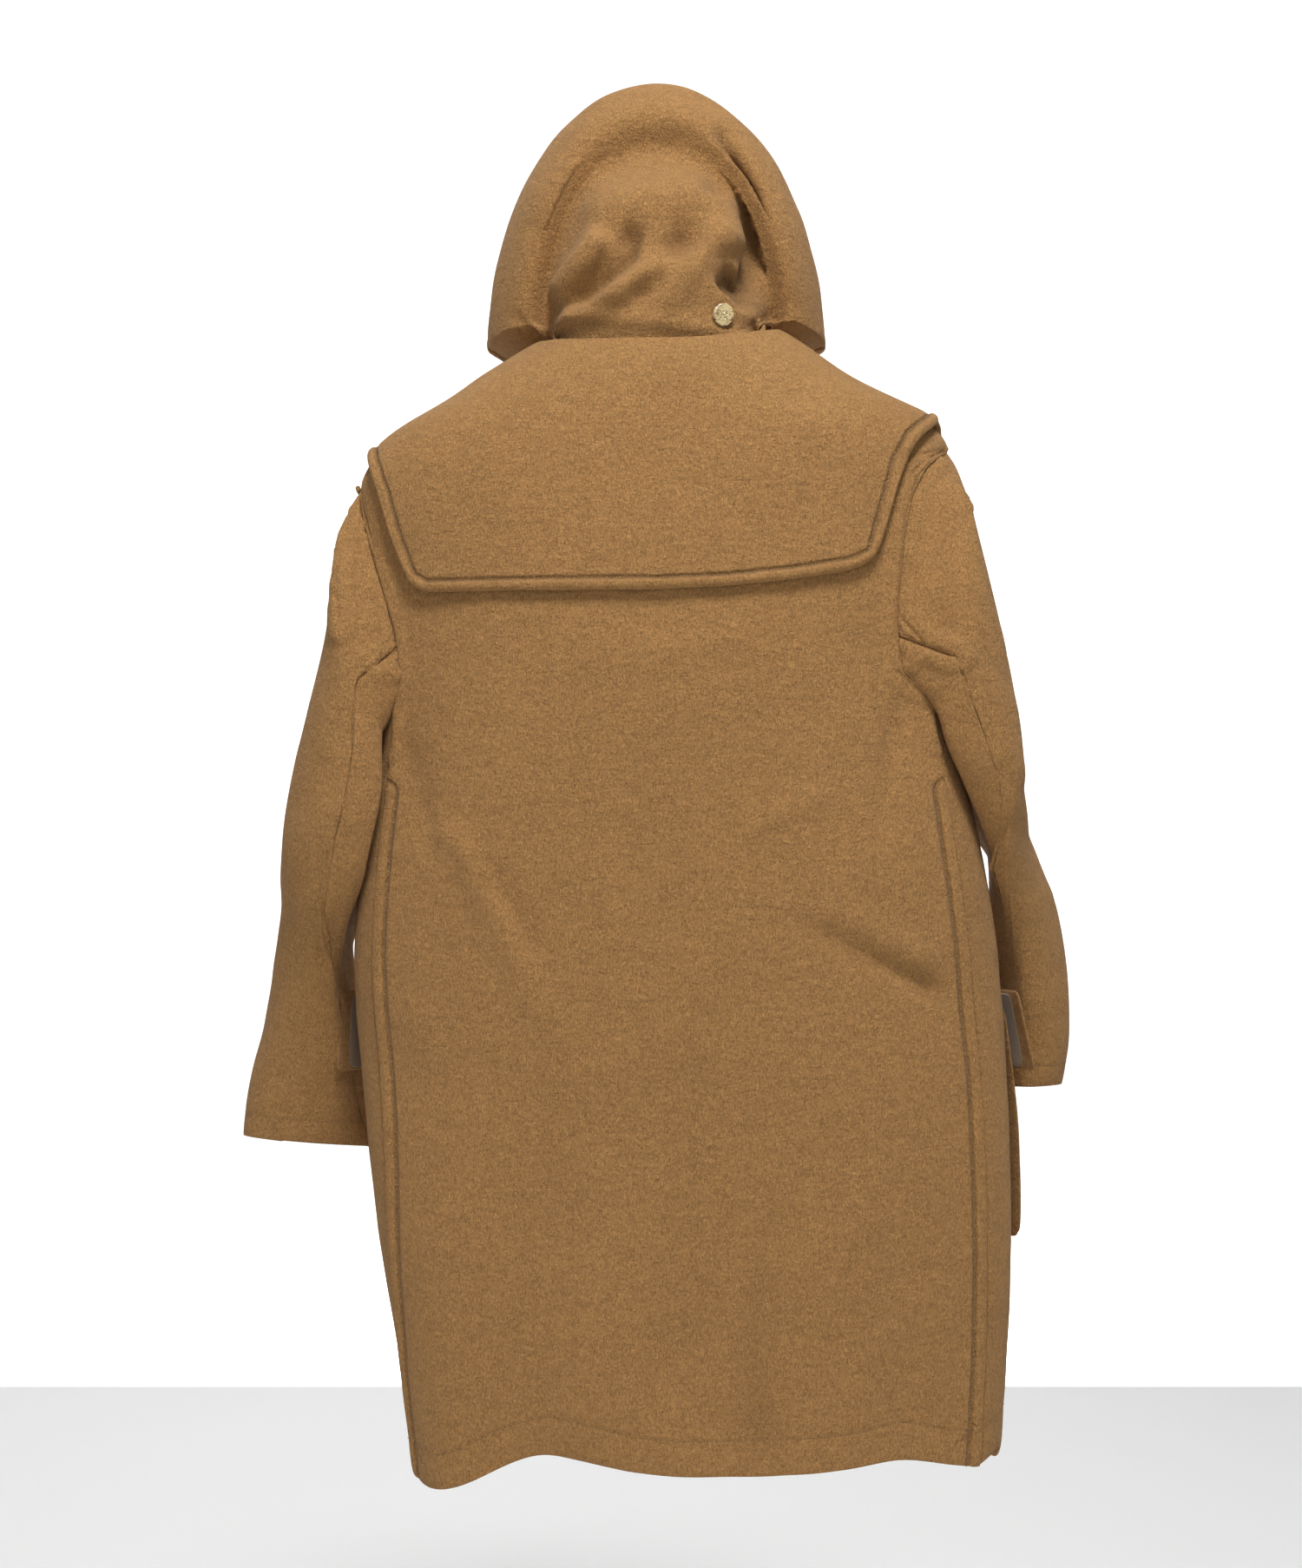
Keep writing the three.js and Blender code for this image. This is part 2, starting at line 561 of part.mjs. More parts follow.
// Moves a point that lies in the body, or closer to it than the clearance, out of it.
function clearOfBody(point, clearance) {
  const onLeft = point.x >= 0;
  const rough = levelAt(point.z);
  const level = levelAt(point.z - (onLeft ? rough.liftLeft : rough.liftRight));
  const half = (onLeft ? level.left : level.right) + clearance;
  const depth = (point.y >= 0 ? level.back : level.front) + clearance;
  const across = Math.abs(point.x / half) ** level.square;
  const along = Math.abs(point.y / depth) ** level.square;
  const reach = (across + along) ** (1 / level.square);
  if (reach < 1) {
    point.x /= reach;
    point.y /= reach;
  }
  return point;
}

function sleeveSurface(side, table) {
  const sectionAt = curvesThrough(table, "at");
  const first = table[0].at;
  return (at, around) => {
    const section = sectionAt(Math.max(at, first));
    const c = Math.cos(around);
    const s = Math.sin(around);
    const outer = new THREE.Vector3(section.outerX, section.outerY, section.outerZ);
    const inner = new THREE.Vector3(section.innerX, section.innerY, section.innerZ);
    const point = outer.clone().add(inner).multiplyScalar(0.5);
    point.addScaledVector(outer.sub(inner), c / 2);
    const across = new THREE.Vector3(section.outerY - section.innerY, section.innerX - section.outerX, 0);
    across.normalize().multiplyScalar(-side * s * (s >= 0 ? section.back : section.front));
    point.add(across);
    const t = Math.min(at / first, 1);
    if (at < first) {
      const eased = t * (2 - t);
      point.lerpVectors(armholeAt(side, around).point, point, eased);
      point.x += side * Math.sin(Math.PI * t) * 6 * Math.max(c, 0);
    }
    const full = SLEEVE_CLEAR + (CUFF_CLEAR - SLEEVE_CLEAR) * smooth(-430, -530, point.z);
    return clearOfBody(point, full * Math.sqrt(t));
  };
}

function makeSleeve(name, side, table) {
  const surface = sleeveSurface(side, table);
  const rows = [0, 0.03, 0.07, 0.12, 0.2, 0.3, 0.4, 0.5, 0.6, 0.7, 0.8, 0.9, 1];
  const place = (at, around) => {
    const normal = normalOf(surface, at + 0.01, around, 0.008, 0.02).multiplyScalar(-side);
    if (at > 0) return { point: surface(at, around), normal, out: 0 };
    const edge = armholeAt(side, around);
    const away = surface(0.02, around).sub(edge.point).normalize().multiplyScalar(GAP * 4);
    const turned = smooth(0, 0.8, -Math.cos(around));
    away.lerp(new THREE.Vector3(0, 0, 5 * GAP), turned);
    return { point: edge.point.add(away), normal: edge.normal.lerp(normal, turned).normalize(), out: 0 };
  };
  const back = 118 * DEG;
  const front = -124 * DEG;
  const between = (from, to, count) => steps(count).map((t) => from + (to - from) * t);
  const trimmed = (from, to) => (at, around) => {
    const trim = 0.004 + 0.01 * (1 - smooth(0, 0.3, at));
    return place(at, from + trim + ((around - from) * (to - from - 2 * trim)) / (to - from));
  };
  const behind = front + 360 * DEG;
  const body = ["back", side > 0 ? "front_left" : "front_right", "yoke_cape"];
  addWall(name + "_upper", rows, between(front, back, 15), trimmed(front, back), { clearOf: body });
  const clearOf = [...body, name + "_upper"];
  addWall(name + "_under", rows, between(back, behind, 13), trimmed(back, behind), { clearOf });
}

// A pocket lies on its front, at the front's own rows and columns, and stands off a little at its side.
function makePocket(name, side, outer) {
  const rows = BODY_ROWS.filter((z) => z >= POCKET.bottom && z <= POCKET.top);
  const columns = FRONT_SHARES.filter((share) => share >= outer && share <= POCKET.inner);
  const place = (z, share) => {
    const angle = frontAngle(z, side, share);
    const reach = side > 0 ? POCKET.standLeft : POCKET.standRight;
    const stand = reach * (1 - smooth(outer, outer + 0.16, share)) * smooth(POCKET.top, POCKET.top - 100, z);
    return onBody(z, angle, LAY + WOOL + stand + frontOut(side, side * bodyAt(z, angle).x));
  };
  addWall(name, rows, columns, place);
}

// A flap hangs over its pocket, curls away at its outer end, and is lined underneath.
function makeFlap(name, side, outer) {
  const down = steps(3);
  const across = (inset) => {
    const from = outer + inset;
    const to = FLAP.inner - inset;
    return [0, 0.07, 0.14, 0.22, 0.34, 0.5, 0.66, 0.83, 1].map((t) => from + (to - from) * t);
  };
  const place = (under) => (t, share) => {
    const z = FLAP.top + (FLAP.bottom - FLAP.top) * (under ? 0.04 + 0.92 * t : t);
    const angle = frontAngle(z, side, share);
    const curl = FLAP.curl * (1 - smooth(outer, outer + 0.13, share)) * (0.35 + 0.65 * t) + 3 * t;
    const out = FLAP.out + curl + frontOut(side, side * bodyAt(z, angle).x);
    return onBody(z, angle, out - (under ? WOOL + 4 * GAP : 0));
  };
  addWall(name, down, across(0), place(false));
  const lining = { thickness: LINING, colour: "satin", clearOf: [name] };
  addWall(name + "_lining", down, across(FLAP_LINING_INSET), place(true), lining);
}

// A point over the front at a place across it, a height, and a distance out from the plain body.
function overFront(x, z, out) {
  const angle = angleAt(z, x, true);
  return bodyAt(z, angle).addScaledVector(bodyNormal(z, angle), out);
}

function makeClosure(row) {
  const at = (x, dz, out) => overFront(x, row.z + dz, out);
  const cord = (points, segments) => {
    const path = new THREE.CatmullRomCurve3(points.map(([x, dz, out]) => at(x, dz, out)));
    return closedTube(path, segments, CORD_RADIUS, 5);
  };
  const mirrored = (half, middle) => {
    const back = half.map(([x, dz, out]) => [x, -dz, out]).reverse();
    return [...half, middle, ...back];
  };
  const toggleHalf = [[-72, 3.4, 2.3], [-57, 4, 3.2], [-48, 5.6, 6.8], [-40, 7.9, 18.6]];
  const loopHalf = [[72, 5, 5.2], [40, 8, 6.4], [0, 12.5, 6.4], [-30, 14, 8.6], [-48, 12.5, 10.6]];
  const t = TOGGLE;
  const profile = [
    [0, -t.half], [t.tip, -t.half], [t.radius, -t.half * 0.55], [t.radius, -6], [t.waist, -3], [t.waist, 3],
    [t.radius, 6], [t.radius, t.half * 0.55], [t.tip, t.half], [0, t.half],
  ];
  const lathe = new THREE.LatheGeometry(profile.map(([r, h]) => new THREE.Vector2(r, h)), 8);
  const middle = at(t.x, 0, t.out);
  lathe.rotateZ(90 * DEG).translate(middle.x, middle.y, middle.z);
  add("toggle_" + row.name, lathe, "horn");
  add("toggle_cord_" + row.name, cord(mirrored(toggleHalf, [-40, 0, 26.2]), 15), "cord");
  add("loop_cord_" + row.name, cord(mirrored(loopHalf, [-57, 0, 10.8]), 15), "cord");
  [["left", 1], ["right", -1]].forEach(([word, side]) => {
    const place = (across, x) => {
      const half = PATCH.half + ((PATCH.tip - PATCH.half) * (PATCH.far - x)) / (PATCH.far - PATCH.near);
      const z = row.z + across * half;
      return onBody(z, angleAt(z, side * x, true), GAP + LEATHER + frontOut(side, x));
    };
    const across = steps(2).map((u) => 2 * u - 1);
    const geometry = wallGeometry(across, [PATCH.near, 88, PATCH.far], place, LEATHER);
    add("patch_" + word + "_" + row.name, geometry, "leather");
  });
}

// A tube with closed ends along a path.
function closedTube(path, segments, radius, sides) {
  const frames = path.computeFrenetFrames(segments, false);
  const positions = [];
  const faces = [];
  for (let i = 0; i <= segments; i += 1) {
    const centre = path.getPoint(i / segments);
    for (let j = 0; j < sides; j += 1) {
      const turn = (j / sides) * 2 * Math.PI;
      const point = centre.clone().addScaledVector(frames.normals[i], radius * Math.cos(turn));
      positions.push(...point.addScaledVector(frames.binormals[i], radius * Math.sin(turn)).toArray());
    }
  }
  const at = (i, j) => i * sides + (j % sides);
  for (let i = 0; i < segments; i += 1) {
    for (let j = 0; j < sides; j += 1) {
      faces.push(at(i, j), at(i + 1, j), at(i + 1, j + 1), at(i, j), at(i + 1, j + 1), at(i, j + 1));
    }
  }
  for (let j = 1; j < sides - 1; j += 1) {
    faces.push(at(0, 0), at(0, j), at(0, j + 1));
    faces.push(at(segments, 0), at(segments, j + 1), at(segments, j));
  }
  return facingOut(positions, faces);
}

function makeButton() {
  const outline = new THREE.Shape().absarc(0, 0, BUTTON.radius - 0.6, 0, 2 * Math.PI);
  [45, 135, 225, 315].forEach((turn) => {
    const x = BUTTON.holeAt * Math.cos(turn * DEG);
    const y = BUTTON.holeAt * Math.sin(turn * DEG);
    outline.holes.push(new THREE.Path().absarc(x, y, BUTTON.hole, 0, 2 * Math.PI, true));
  });
  const geometry = new THREE.ExtrudeGeometry(outline, {
    depth: BUTTON.thick - 1.2,
    bevelThickness: 0.6,
    bevelSize: 0.6,
    bevelSegments: 1,
    curveSegments: 5,
  });
  const { point, normal } = onHoodBack(BUTTON.x, BUTTON.z);
  const turned = new THREE.Quaternion().setFromUnitVectors(new THREE.Vector3(0, 0, 1), normal);
  geometry.applyQuaternion(turned);
  const centre = point.addScaledVector(normal, BUTTON.stand + 0.6);
  geometry.translate(centre.x, centre.y, centre.z);
  add("hood_button", geometry, "paleHorn");
}

// The place on the slumped back of the hood that is seen at a place from behind.
function onHoodBack(x, z) {
  let best = null;
  for (let at = 0.72; at <= 0.94; at += 0.005) {
    for (let turn = -100; turn <= 100; turn += 1) {
      const spot = onHood(at, turn * DEG);
      const miss = Math.hypot(spot.point.x - x, spot.point.z - z);
      if (!best || miss < best.miss) best = { ...spot, miss };
    }
  }
  return best;
}

makeBack();
makeFront("front_right", -1);
makeFront("front_left", 1);
makeCape();
makeHood();
makeSleeve("sleeve_left", 1, SLEEVE_LEFT);
makeSleeve("sleeve_right", -1, SLEEVE_RIGHT);
makePocket("pocket_left", 1, POCKET.outerLeft);
makePocket("pocket_right", -1, POCKET.outerRight);
makeFlap("flap_left", 1, FLAP.outerLeft);
makeFlap("flap_right", -1, FLAP.outerRight);
CLOSURES.forEach(makeClosure);
makeButton();

export default coat;
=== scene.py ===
"""Looks for a hooded duffle coat: brushed wool cloth, satin under the pocket flaps, horn and leather."""

import math

import bmesh
import bpy
import numpy as np
from bpy.props import FloatProperty, FloatVectorProperty, PointerProperty
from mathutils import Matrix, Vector, kdtree, noise
from mathutils.bvhtree import BVHTree


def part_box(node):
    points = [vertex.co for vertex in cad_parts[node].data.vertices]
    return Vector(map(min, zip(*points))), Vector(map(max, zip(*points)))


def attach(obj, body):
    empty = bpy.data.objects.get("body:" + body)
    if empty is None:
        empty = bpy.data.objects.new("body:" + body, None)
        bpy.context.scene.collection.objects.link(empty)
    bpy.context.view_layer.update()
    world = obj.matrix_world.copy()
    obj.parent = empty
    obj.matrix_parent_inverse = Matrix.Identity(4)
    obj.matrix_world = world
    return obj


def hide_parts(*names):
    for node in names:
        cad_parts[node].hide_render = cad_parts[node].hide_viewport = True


bl_info = {
    "name": "Duffle coat looks",
    "version": (1, 0, 0),
    "blender": (4, 5, 0),
    "location": "3D View > Sidebar > Duffle coat",
    "description": "Dresses the duffle coat's frame in wool, satin, leather and horn",
    "category": "Object",
}

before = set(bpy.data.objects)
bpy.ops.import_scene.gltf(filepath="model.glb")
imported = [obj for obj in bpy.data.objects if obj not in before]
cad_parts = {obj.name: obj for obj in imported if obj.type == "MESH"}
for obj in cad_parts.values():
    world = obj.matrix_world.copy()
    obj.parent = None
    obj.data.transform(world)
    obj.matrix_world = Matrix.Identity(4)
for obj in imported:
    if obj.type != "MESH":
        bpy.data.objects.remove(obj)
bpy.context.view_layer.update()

MM = 0.001
IMAGE_WIDTH, IMAGE_HEIGHT = 1500, 1806
PHOTO_MM_PER_PIXEL = 0.72
BODY_CENTRE = (0.0, 0.0, None)
HOOD_CENTRE = (0.0, -0.03, 0.04)
SHARP = math.radians(60)
SEAM_REACH = 4 * MM
WELT_RADIUS = 2.2 * MM
THREAD_REACH = 2.4 * MM
FAR_FROM_STITCHING = 40
NO_STITCHING = 99.0
WELT_SINK = 3.4 * MM
WELT_LOW, WELT_HIGH = -0.6, -0.11
BUTTED = (
    "back",
    "front_left",
    "front_right",
    "sleeve_left_upper",
    "sleeve_left_under",
    "sleeve_right_upper",
    "sleeve_right_under",
)

# Cloth folds that the solids leave out, each along a line in the back or the front view, in mm: its two
# ends, its half-width, and how far it stands out at each end.
FOLD_COLUMNS = ("piece", "view", "x1", "z1", "x2", "z2", "width", "start", "end")
FOLDS = [
    ("back", "back", 200, -330, 180, -420, 12, -4.0, -1.6),
    ("back", "back", -196, -300, -176, -400, 12, -4.0, -2.4),
    ("back", "back", 176, -396, 146, -424, 10, 3.2, 4.8),
    ("back", "back", 150, -424, 112, -502, 12, 5.6, 4.8),
    ("back", "back", 132, -430, 96, -500, 10, -4.0, -3.2),
    ("back", "back", 112, -502, 82, -572, 13, 4.8, 1.6),
    ("back", "back", -74, -402, -136, -368, 10, 3.2, 2.4),
    ("back", "back", -122, -474, -232, -532, 8, -3.2, -6.4),
    ("back", "back", -130, -458, -226, -506, 11, 1.6, 4.8),
    ("back", "back", -178, -610, -168, -880, 16, 1.6, 3.2),
    ("back", "back", 18, -320, 12, -450, 9, -1.3, -1.3),
    ("back", "back", -14, -450, -24, -900, 9, -1.3, -1.3),
    ("back", "back", 40, -640, 66, -900, 26, 1.6, 4.8),
    ("back", "back", -86, -700, -84, -905, 24, -1.6, -4.8),
    ("back", "back", 200, -540, 168, -640, 14, 3.2, -1.6),
    ("back", "back", -40, -560, 60, -600, 18, 1.9, 1.9),
    ("back", "back", -60, -250, 70, -262, 14, 1.9, 1.3),
    ("yoke_cape", "back", 150, -60, 110, -150, 16, 1.5, 1.0),
    ("yoke_cape", "back", 0, -20, 0, -190, 3, -1.4, -1.4),
    ("yoke_cape", "back", -130, -60, -96, -140, 18, 1.5, 0.6),
    ("yoke_cape", "back", 60, -30, 40, -120, 20, 1.0, 0.5),
    ("yoke_cape", "front", 130, -110, 100, -180, 18, 1.5, 1.0),
    ("yoke_cape", "front", -120, -100, -104, -180, 16, 1.5, 1.0),
    ("front_left", "front", 190, -300, 120, -420, 14, 3.0, 1.5),
    ("front_left", "front", 170, -440, 100, -520, 16, 2.0, 1.0),
    ("front_left", "front", 70, -620, 66, -900, 20, -2.0, -3.0),
    ("front_right", "front", -180, -310, -110, -400, 14, 3.0, 1.5),
    ("front_right", "front", -210, -420, -120, -500, 16, 2.0, 1.0),
    ("front_right", "front", -80, -640, -74, -900, 20, -1.5, -3.0),
    ("hood", "back", 92, 100, 60, 150, 24, 2.0, 2.0),
    ("hood", "back", -54, 184, -78, 130, 8, -6.8, -16.2),
    ("hood", "back", -78, 130, -86, 80, 9, -16.2, -16.2),
    ("hood", "back", -86, 80, -74, 30, 9, -16.2, -10.8),
    ("hood", "back", 56, 106, -40, 124, 20, 6.8, 14.9),
    ("hood", "back", -50, 120, -62, 76, 14, 10.8, 10.8),
    ("hood", "back", 78, 40, 40, 84, 12, 12.2, 17.6),
    ("hood", "back", 28, 88, 12, 80, 11, -11.0, -10.0),
    ("hood", "back", 62, 30, 18, 74, 10, -11.0, -12.0),
    ("hood", "back", 78, 14, -14, 66, 11, 9.5, 16.2),
    ("hood", "back", 18, 36, -32, 88, 13, -8.0, -12.0),
    ("hood", "back", -2, 22, -50, 92, 12, 5.4, 10.8),
    ("hood", "back", -70, 58, -58, 42, 11, -15.0, -13.0),
    ("hood", "back", 66, 22, -60, 8, 7, 3.0, 3.0),
    ("hood", "back", 120, 30, 92, 6, 5, -2.0, -2.5),
    ("hood", "back", -114, 46, -80, 14, 5, -2.0, -2.5),
    ("sleeve_left_upper", "back", 232, -300, 252, -330, 9, -2.5, -2.0),
    ("sleeve_left_upper", "back", 262, -420, 296, -450, 10, -3.0, -2.0),
    ("sleeve_left_upper", "back", 258, -380, 290, -404, 10, 2.5, 2.0),
    ("sleeve_left_upper", "back", 276, -500, 312, -470, 9, -2.5, -1.5),
    ("sleeve_left_upper", "back", 290, -560, 318, -540, 12, 2.0, 2.0),
    ("sleeve_right_upper", "back", -262, -240, -290, -280, 11, -2.0, -2.5),
    ("sleeve_right_upper", "back", -280, -330, -306, -360, 10, 2.5, 2.0),
    ("sleeve_right_upper", "back", -284, -392, -316, -414, 9, -2.5, -2.0),
    ("sleeve_right_upper", "back", -306, -470, -334, -452, 10, 2.0, 2.0),
    ("sleeve_left_upper", "front", 250, -330, 300, -372, 10, -3.0, -2.0),
    ("sleeve_left_upper", "front", 262, -470, 316, -500, 10, -3.0, -2.0),
    ("sleeve_right_upper", "front", -250, -320, -300, -364, 10, -3.0, -2.0),
    ("sleeve_right_upper", "front", -270, -440, -330, -470, 10, -3.0, -2.0),
]


# The heights between which a wall's hard steps begin to be evened out, in mm, and the rounds of it.
RELAXED = {"hood": (62, 104, 90)}
# A wall is left as it is this near its front edge, and is evened out fully behind the second depth, in mm.
FRONT_KEPT = (78, 104)

# How far a sleeve's part leans towards the body between two heights, in mm.
LEANS = {"sleeve_left_under": (-400, -640, -6.5), "sleeve_left_upper": (-400, -640, -6.5)}
LEAN_RAMP = 80


class CoatLooks(bpy.types.PropertyGroup):
    """Colours and sizes of the coat's finish."""

    wool: FloatVectorProperty(
        name="Wool",
        description="Colour of the brushed wool",
        subtype="COLOR",
        default=(0.4, 0.212, 0.075),
    )
    # wool_deep is also the tone that the painted shade in fold hollows and along stitch lines darkens
    # towards.
    wool_deep: FloatVectorProperty(
        name="Wool shade",
        description="Darker fibres in the wool",
        subtype="COLOR",
        default=(0.2, 0.1, 0.036),
    )
    satin: FloatVectorProperty(
        name="Satin",
        description="Lining under the pocket flaps",
        subtype="COLOR",
        default=(0.25, 0.18, 0.125),
    )
    leather: FloatVectorProperty(
        name="Leather",
        description="Patches of the closures",
        subtype="COLOR",
        default=(0.09, 0.042, 0.02),
    )
    cord: FloatVectorProperty(
        name="Cord",
        description="Loops of the closures",
        subtype="COLOR",
        default=(0.06, 0.034, 0.018),
    )
    horn: FloatVectorProperty(
        name="Horn", description="Toggles", subtype="COLOR", default=(0.13, 0.06, 0.026)
    )
    pale_horn: FloatVectorProperty(
        name="Pale horn",
        description="Button on the hood",
        subtype="COLOR",
        default=(0.68, 0.55, 0.28),
    )
    thread: FloatVectorProperty(
        name="Thread", description="Sewing thread", subtype="COLOR", default=(0.3, 0.18, 0.075)
    )
    stitch_length: FloatProperty(
        name="Stitch", description="Length of a topstitch", default=2.6 * MM, unit="LENGTH"
    )
    stitch_spacing: FloatProperty(
        name="Stitch spacing",
        description="From one topstitch to the next",
        default=3.6 * MM,
        unit="LENGTH",
    )
    stitch_radius: FloatProperty(
        name="Thread radius",
        description="Radius of the sewing thread",
        default=0.32 * MM,
        unit="LENGTH",
    )


def looks():
    return bpy.context.scene.coat_looks


def new_material(name, roughness, **sockets):
    """A Principled material with the given roughness and input values; its patterns' Object-coordinate
    input comes from Pattern.
    """
    material = bpy.data.materials.new(name)
    material.use_nodes = True
    shader = material.node_tree.nodes["Principled BSDF"]
    shader.inputs["Roughness"].default_value = roughness
    for socket, value in sockets.items():
        shader.inputs[socket.replace("_", " ")].default_value = value
    return material


class Pattern:
    """Short ways to build a material's node tree."""

    def __init__(self, material):
        self.tree = material.node_tree
        self.shader = self.tree.nodes["Principled BSDF"]
        self.place = self.add("ShaderNodeTexCoord").outputs["Object"]

    def add(self, kind, **values):
        node = self.tree.nodes.new(kind)
        for key, value in values.items():
            setattr(node, key, value)
        return node

    def link(self, source, target):
        self.tree.links.new(source, target)

    def noise(self, scale, stretch=(1, 1, 1), detail=3.0, distortion=0.0):
        mapping = self.add("ShaderNodeMapping")
        mapping.inputs["Scale"].default_value = stretch
        self.link(self.place, mapping.inputs["Vector"])
        texture = self.add("ShaderNodeTexNoise")
        texture.inputs["Scale"].default_value = scale
        texture.inputs["Detail"].default_value = detail
        texture.inputs["Distortion"].default_value = distortion
        self.link(mapping.outputs["Vector"], texture.inputs["Vector"])
        return texture.outputs["Fac"]

    def ramp(self, factor, stops):
        ramp = self.add("ShaderNodeValToRGB")
        elements = ramp.color_ramp.elements
        while len(elements) < len(stops):
            elements.new(0.5)
        for element, (position, colour) in zip(elements, stops):
            element.position = position
            element.color = (*colour, 1)
        self.link(factor, ramp.inputs["Fac"])
        return ramp.outputs["Color"]

    def mix(self, factor, first, second, blend="MIX"):
        mix = self.add("ShaderNodeMix", data_type="RGBA", blend_type=blend)
        for source, socket in ((factor, mix.inputs[0]), (first, mix.inputs[6]), (second, mix.inputs[7])):
            if isinstance(source, (int, float)):
                socket.default_value = source
            elif isinstance(source, tuple):
                socket.default_value = (*source, 1)
            else:
                self.link(source, socket)
        return mix.outputs[2]

    def bump(self, height, distance, strength, under=None):
        bump = self.add("ShaderNodeBump")
        bump.inputs["Distance"].default_value = distance
        bump.inputs["Strength"].default_value = strength
        self.link(height, bump.inputs["Height"])
        if under is not None:
            self.link(under, bump.inputs["Normal"])
        return bump.outputs["Normal"]

    def band(self, attribute, width):
        """1 where a piece's attribute is zero, falling off to 0 at a distance."""
        read = self.add("ShaderNodeAttribute", attribute_name=attribute)
        absolute = self.add("ShaderNodeMath", operation="ABSOLUTE")
        self.link(read.outputs["Fac"], absolute.inputs[0])
        fall = self.add("ShaderNodeMapRange", interpolation_type="SMOOTHSTEP")
        fall.inputs["From Min"].default_value = 0.0
        fall.inputs["From Max"].default_value = width
        fall.inputs["To Min"].default_value = 1.0
        fall.inputs["To Max"].default_value = 0.0
        self.link(absolute.outputs[0], fall.inputs["Value"])
        return fall.outputs["Result"]

    def finish(self, colour, normal):
        self.link(colour, self.shader.inputs["Base Color"])
        self.link(normal, self.shader.inputs["Normal"])


def tone(colour, factor):
    return tuple(min(channel * factor, 1.0) for channel in colour)


def wool_material():
    """Brushed wool: mottled fibres, soft ripples in the nap, and sunk lines of topstitching, with painted
    shade in the fold hollows and along the stitch lines.
    """
    base, deep = tuple(looks().wool), tuple(looks().wool_deep)
    material = new_material(
        "brushed_wool", 0.93, Sheen_Weight=0.12, Sheen_Roughness=0.5, Specular_IOR_Level=0.15
    )
    material.node_tree.nodes["Principled BSDF"].inputs["Sheen Tint"].default_value = (0.95, 0.8, 0.6, 1)
    p = Pattern(material)
    clouds = p.noise(9.0, detail=4.0, distortion=0.4)
    nap = p.noise(120.0, (1.0, 1.0, 1.8), detail=5.0, distortion=1.2)
    fibres = p.noise(950.0, (1.0, 1.0, 0.4), detail=4.0, distortion=0.6)
    ripples = p.noise(34.0, (0.7, 0.7, 2.2), detail=3.0, distortion=1.6)
    curls = p.noise(330.0, (1.0, 1.0, 0.8), detail=3.0, distortion=2.0)
    patches = p.ramp(clouds, [(0.3, (0.2,) * 3), (0.75, (0.8,) * 3)])
    colour = p.mix(patches, tone(base, 0.9), tone(base, 1.12))
    colour = p.mix(p.ramp(nap, [(0.35, (0.32,) * 3), (0.62, (0.0,) * 3)]), colour, deep)
    colour = p.mix(p.ramp(fibres, [(0.36, (0.5,) * 3), (0.52, (0.0,) * 3)]), colour, tone(deep, 0.75))
    colour = p.mix(p.ramp(fibres, [(0.55, (0.0,) * 3), (0.72, (0.55,) * 3)]), colour, tone(base, 1.5))
    # Painted shade: the wool is darkened towards the deep tone in the hollows of the folds, and the deeper
    # the fold, the darker it gets.
    folds = p.add("ShaderNodeAttribute", attribute_name="fold_mm")
    painted_fold_shade = p.add("ShaderNodeMapRange")
    for socket, value in (("From Min", -1.0), ("From Max", -14.0), ("To Min", 0.0), ("To Max", 0.6)):
        painted_fold_shade.inputs[socket].default_value = value
    p.link(folds.outputs["Fac"], painted_fold_shade.inputs["Value"])
    colour = p.mix(painted_fold_shade.outputs["Result"], colour, tone(deep, 0.55))
    sink = p.add("ShaderNodeAttribute", attribute_name="stitch_depth")
    line = p.add("ShaderNodeMath", operation="MULTIPLY")
    p.link(p.band("stitch_mm", 3.0), line.inputs[0])
    p.link(sink.outputs["Fac"], line.inputs[1])
    groove = line.outputs[0]
    # Painted shade: the wool is darkened along the sunk stitch lines, and more where the stitching sinks
    # deeper.
    colour = p.mix(p.mix(0.5, (0.0,) * 3, groove), colour, tone(deep, 0.7))
    normal = p.bump(ripples, 2.4 * MM, 0.55)
    normal = p.bump(nap, 1.6 * MM, 0.6, normal)
    normal = p.bump(curls, 2.0 * MM, 0.9, normal)
    normal = p.bump(fibres, 0.7 * MM, 0.75, normal)
    sunk = p.add("ShaderNodeMath", operation="MULTIPLY")
    sunk.inputs[1].default_value = -1.0
    p.link(groove, sunk.inputs[0])
    normal = p.bump(sunk.outputs[0], 1.8 * MM, 0.9, normal)
    p.finish(colour, normal)
    return material


def satin_material():
    base = tuple(looks().satin)
    material = new_material("satin_lining", 0.36, Sheen_Weight=0.2, Specular_IOR_Level=0.5)
    p = Pattern(material)
    threads = p.noise(1400.0, (1.0, 1.0, 0.15), detail=2.0)
    waves = p.noise(40.0, detail=2.0)
    colour = p.mix(p.ramp(threads, [(0.3, (0.6,) * 3), (0.7, (0.0,) * 3)]), base, tone(base, 0.72))
    p.finish(colour, p.bump(threads, 0.2 * MM, 0.4, p.bump(waves, 1.5 * MM, 0.4)))
    return material


def leather_material():
    base = tuple(looks().leather)
    material = new_material("patch_leather", 0.5, Specular_IOR_Level=0.4)
    p = Pattern(material)
    cells = p.add("ShaderNodeTexVoronoi", feature="DISTANCE_TO_EDGE")
    cells.inputs["Scale"].default_value = 900.0
    p.link(p.place, cells.inputs["Vector"])
    wear = p.noise(70.0, detail=4.0)
    colour = p.mix(p.ramp(wear, [(0.4, (0.0,) * 3), (0.75, (0.8,) * 3)]), base, tone(base, 1.9))
    p.finish(colour, p.bump(cells.outputs["Distance"], 0.4 * MM, 0.6, p.bump(wear, 0.6 * MM, 0.3)))
    return material


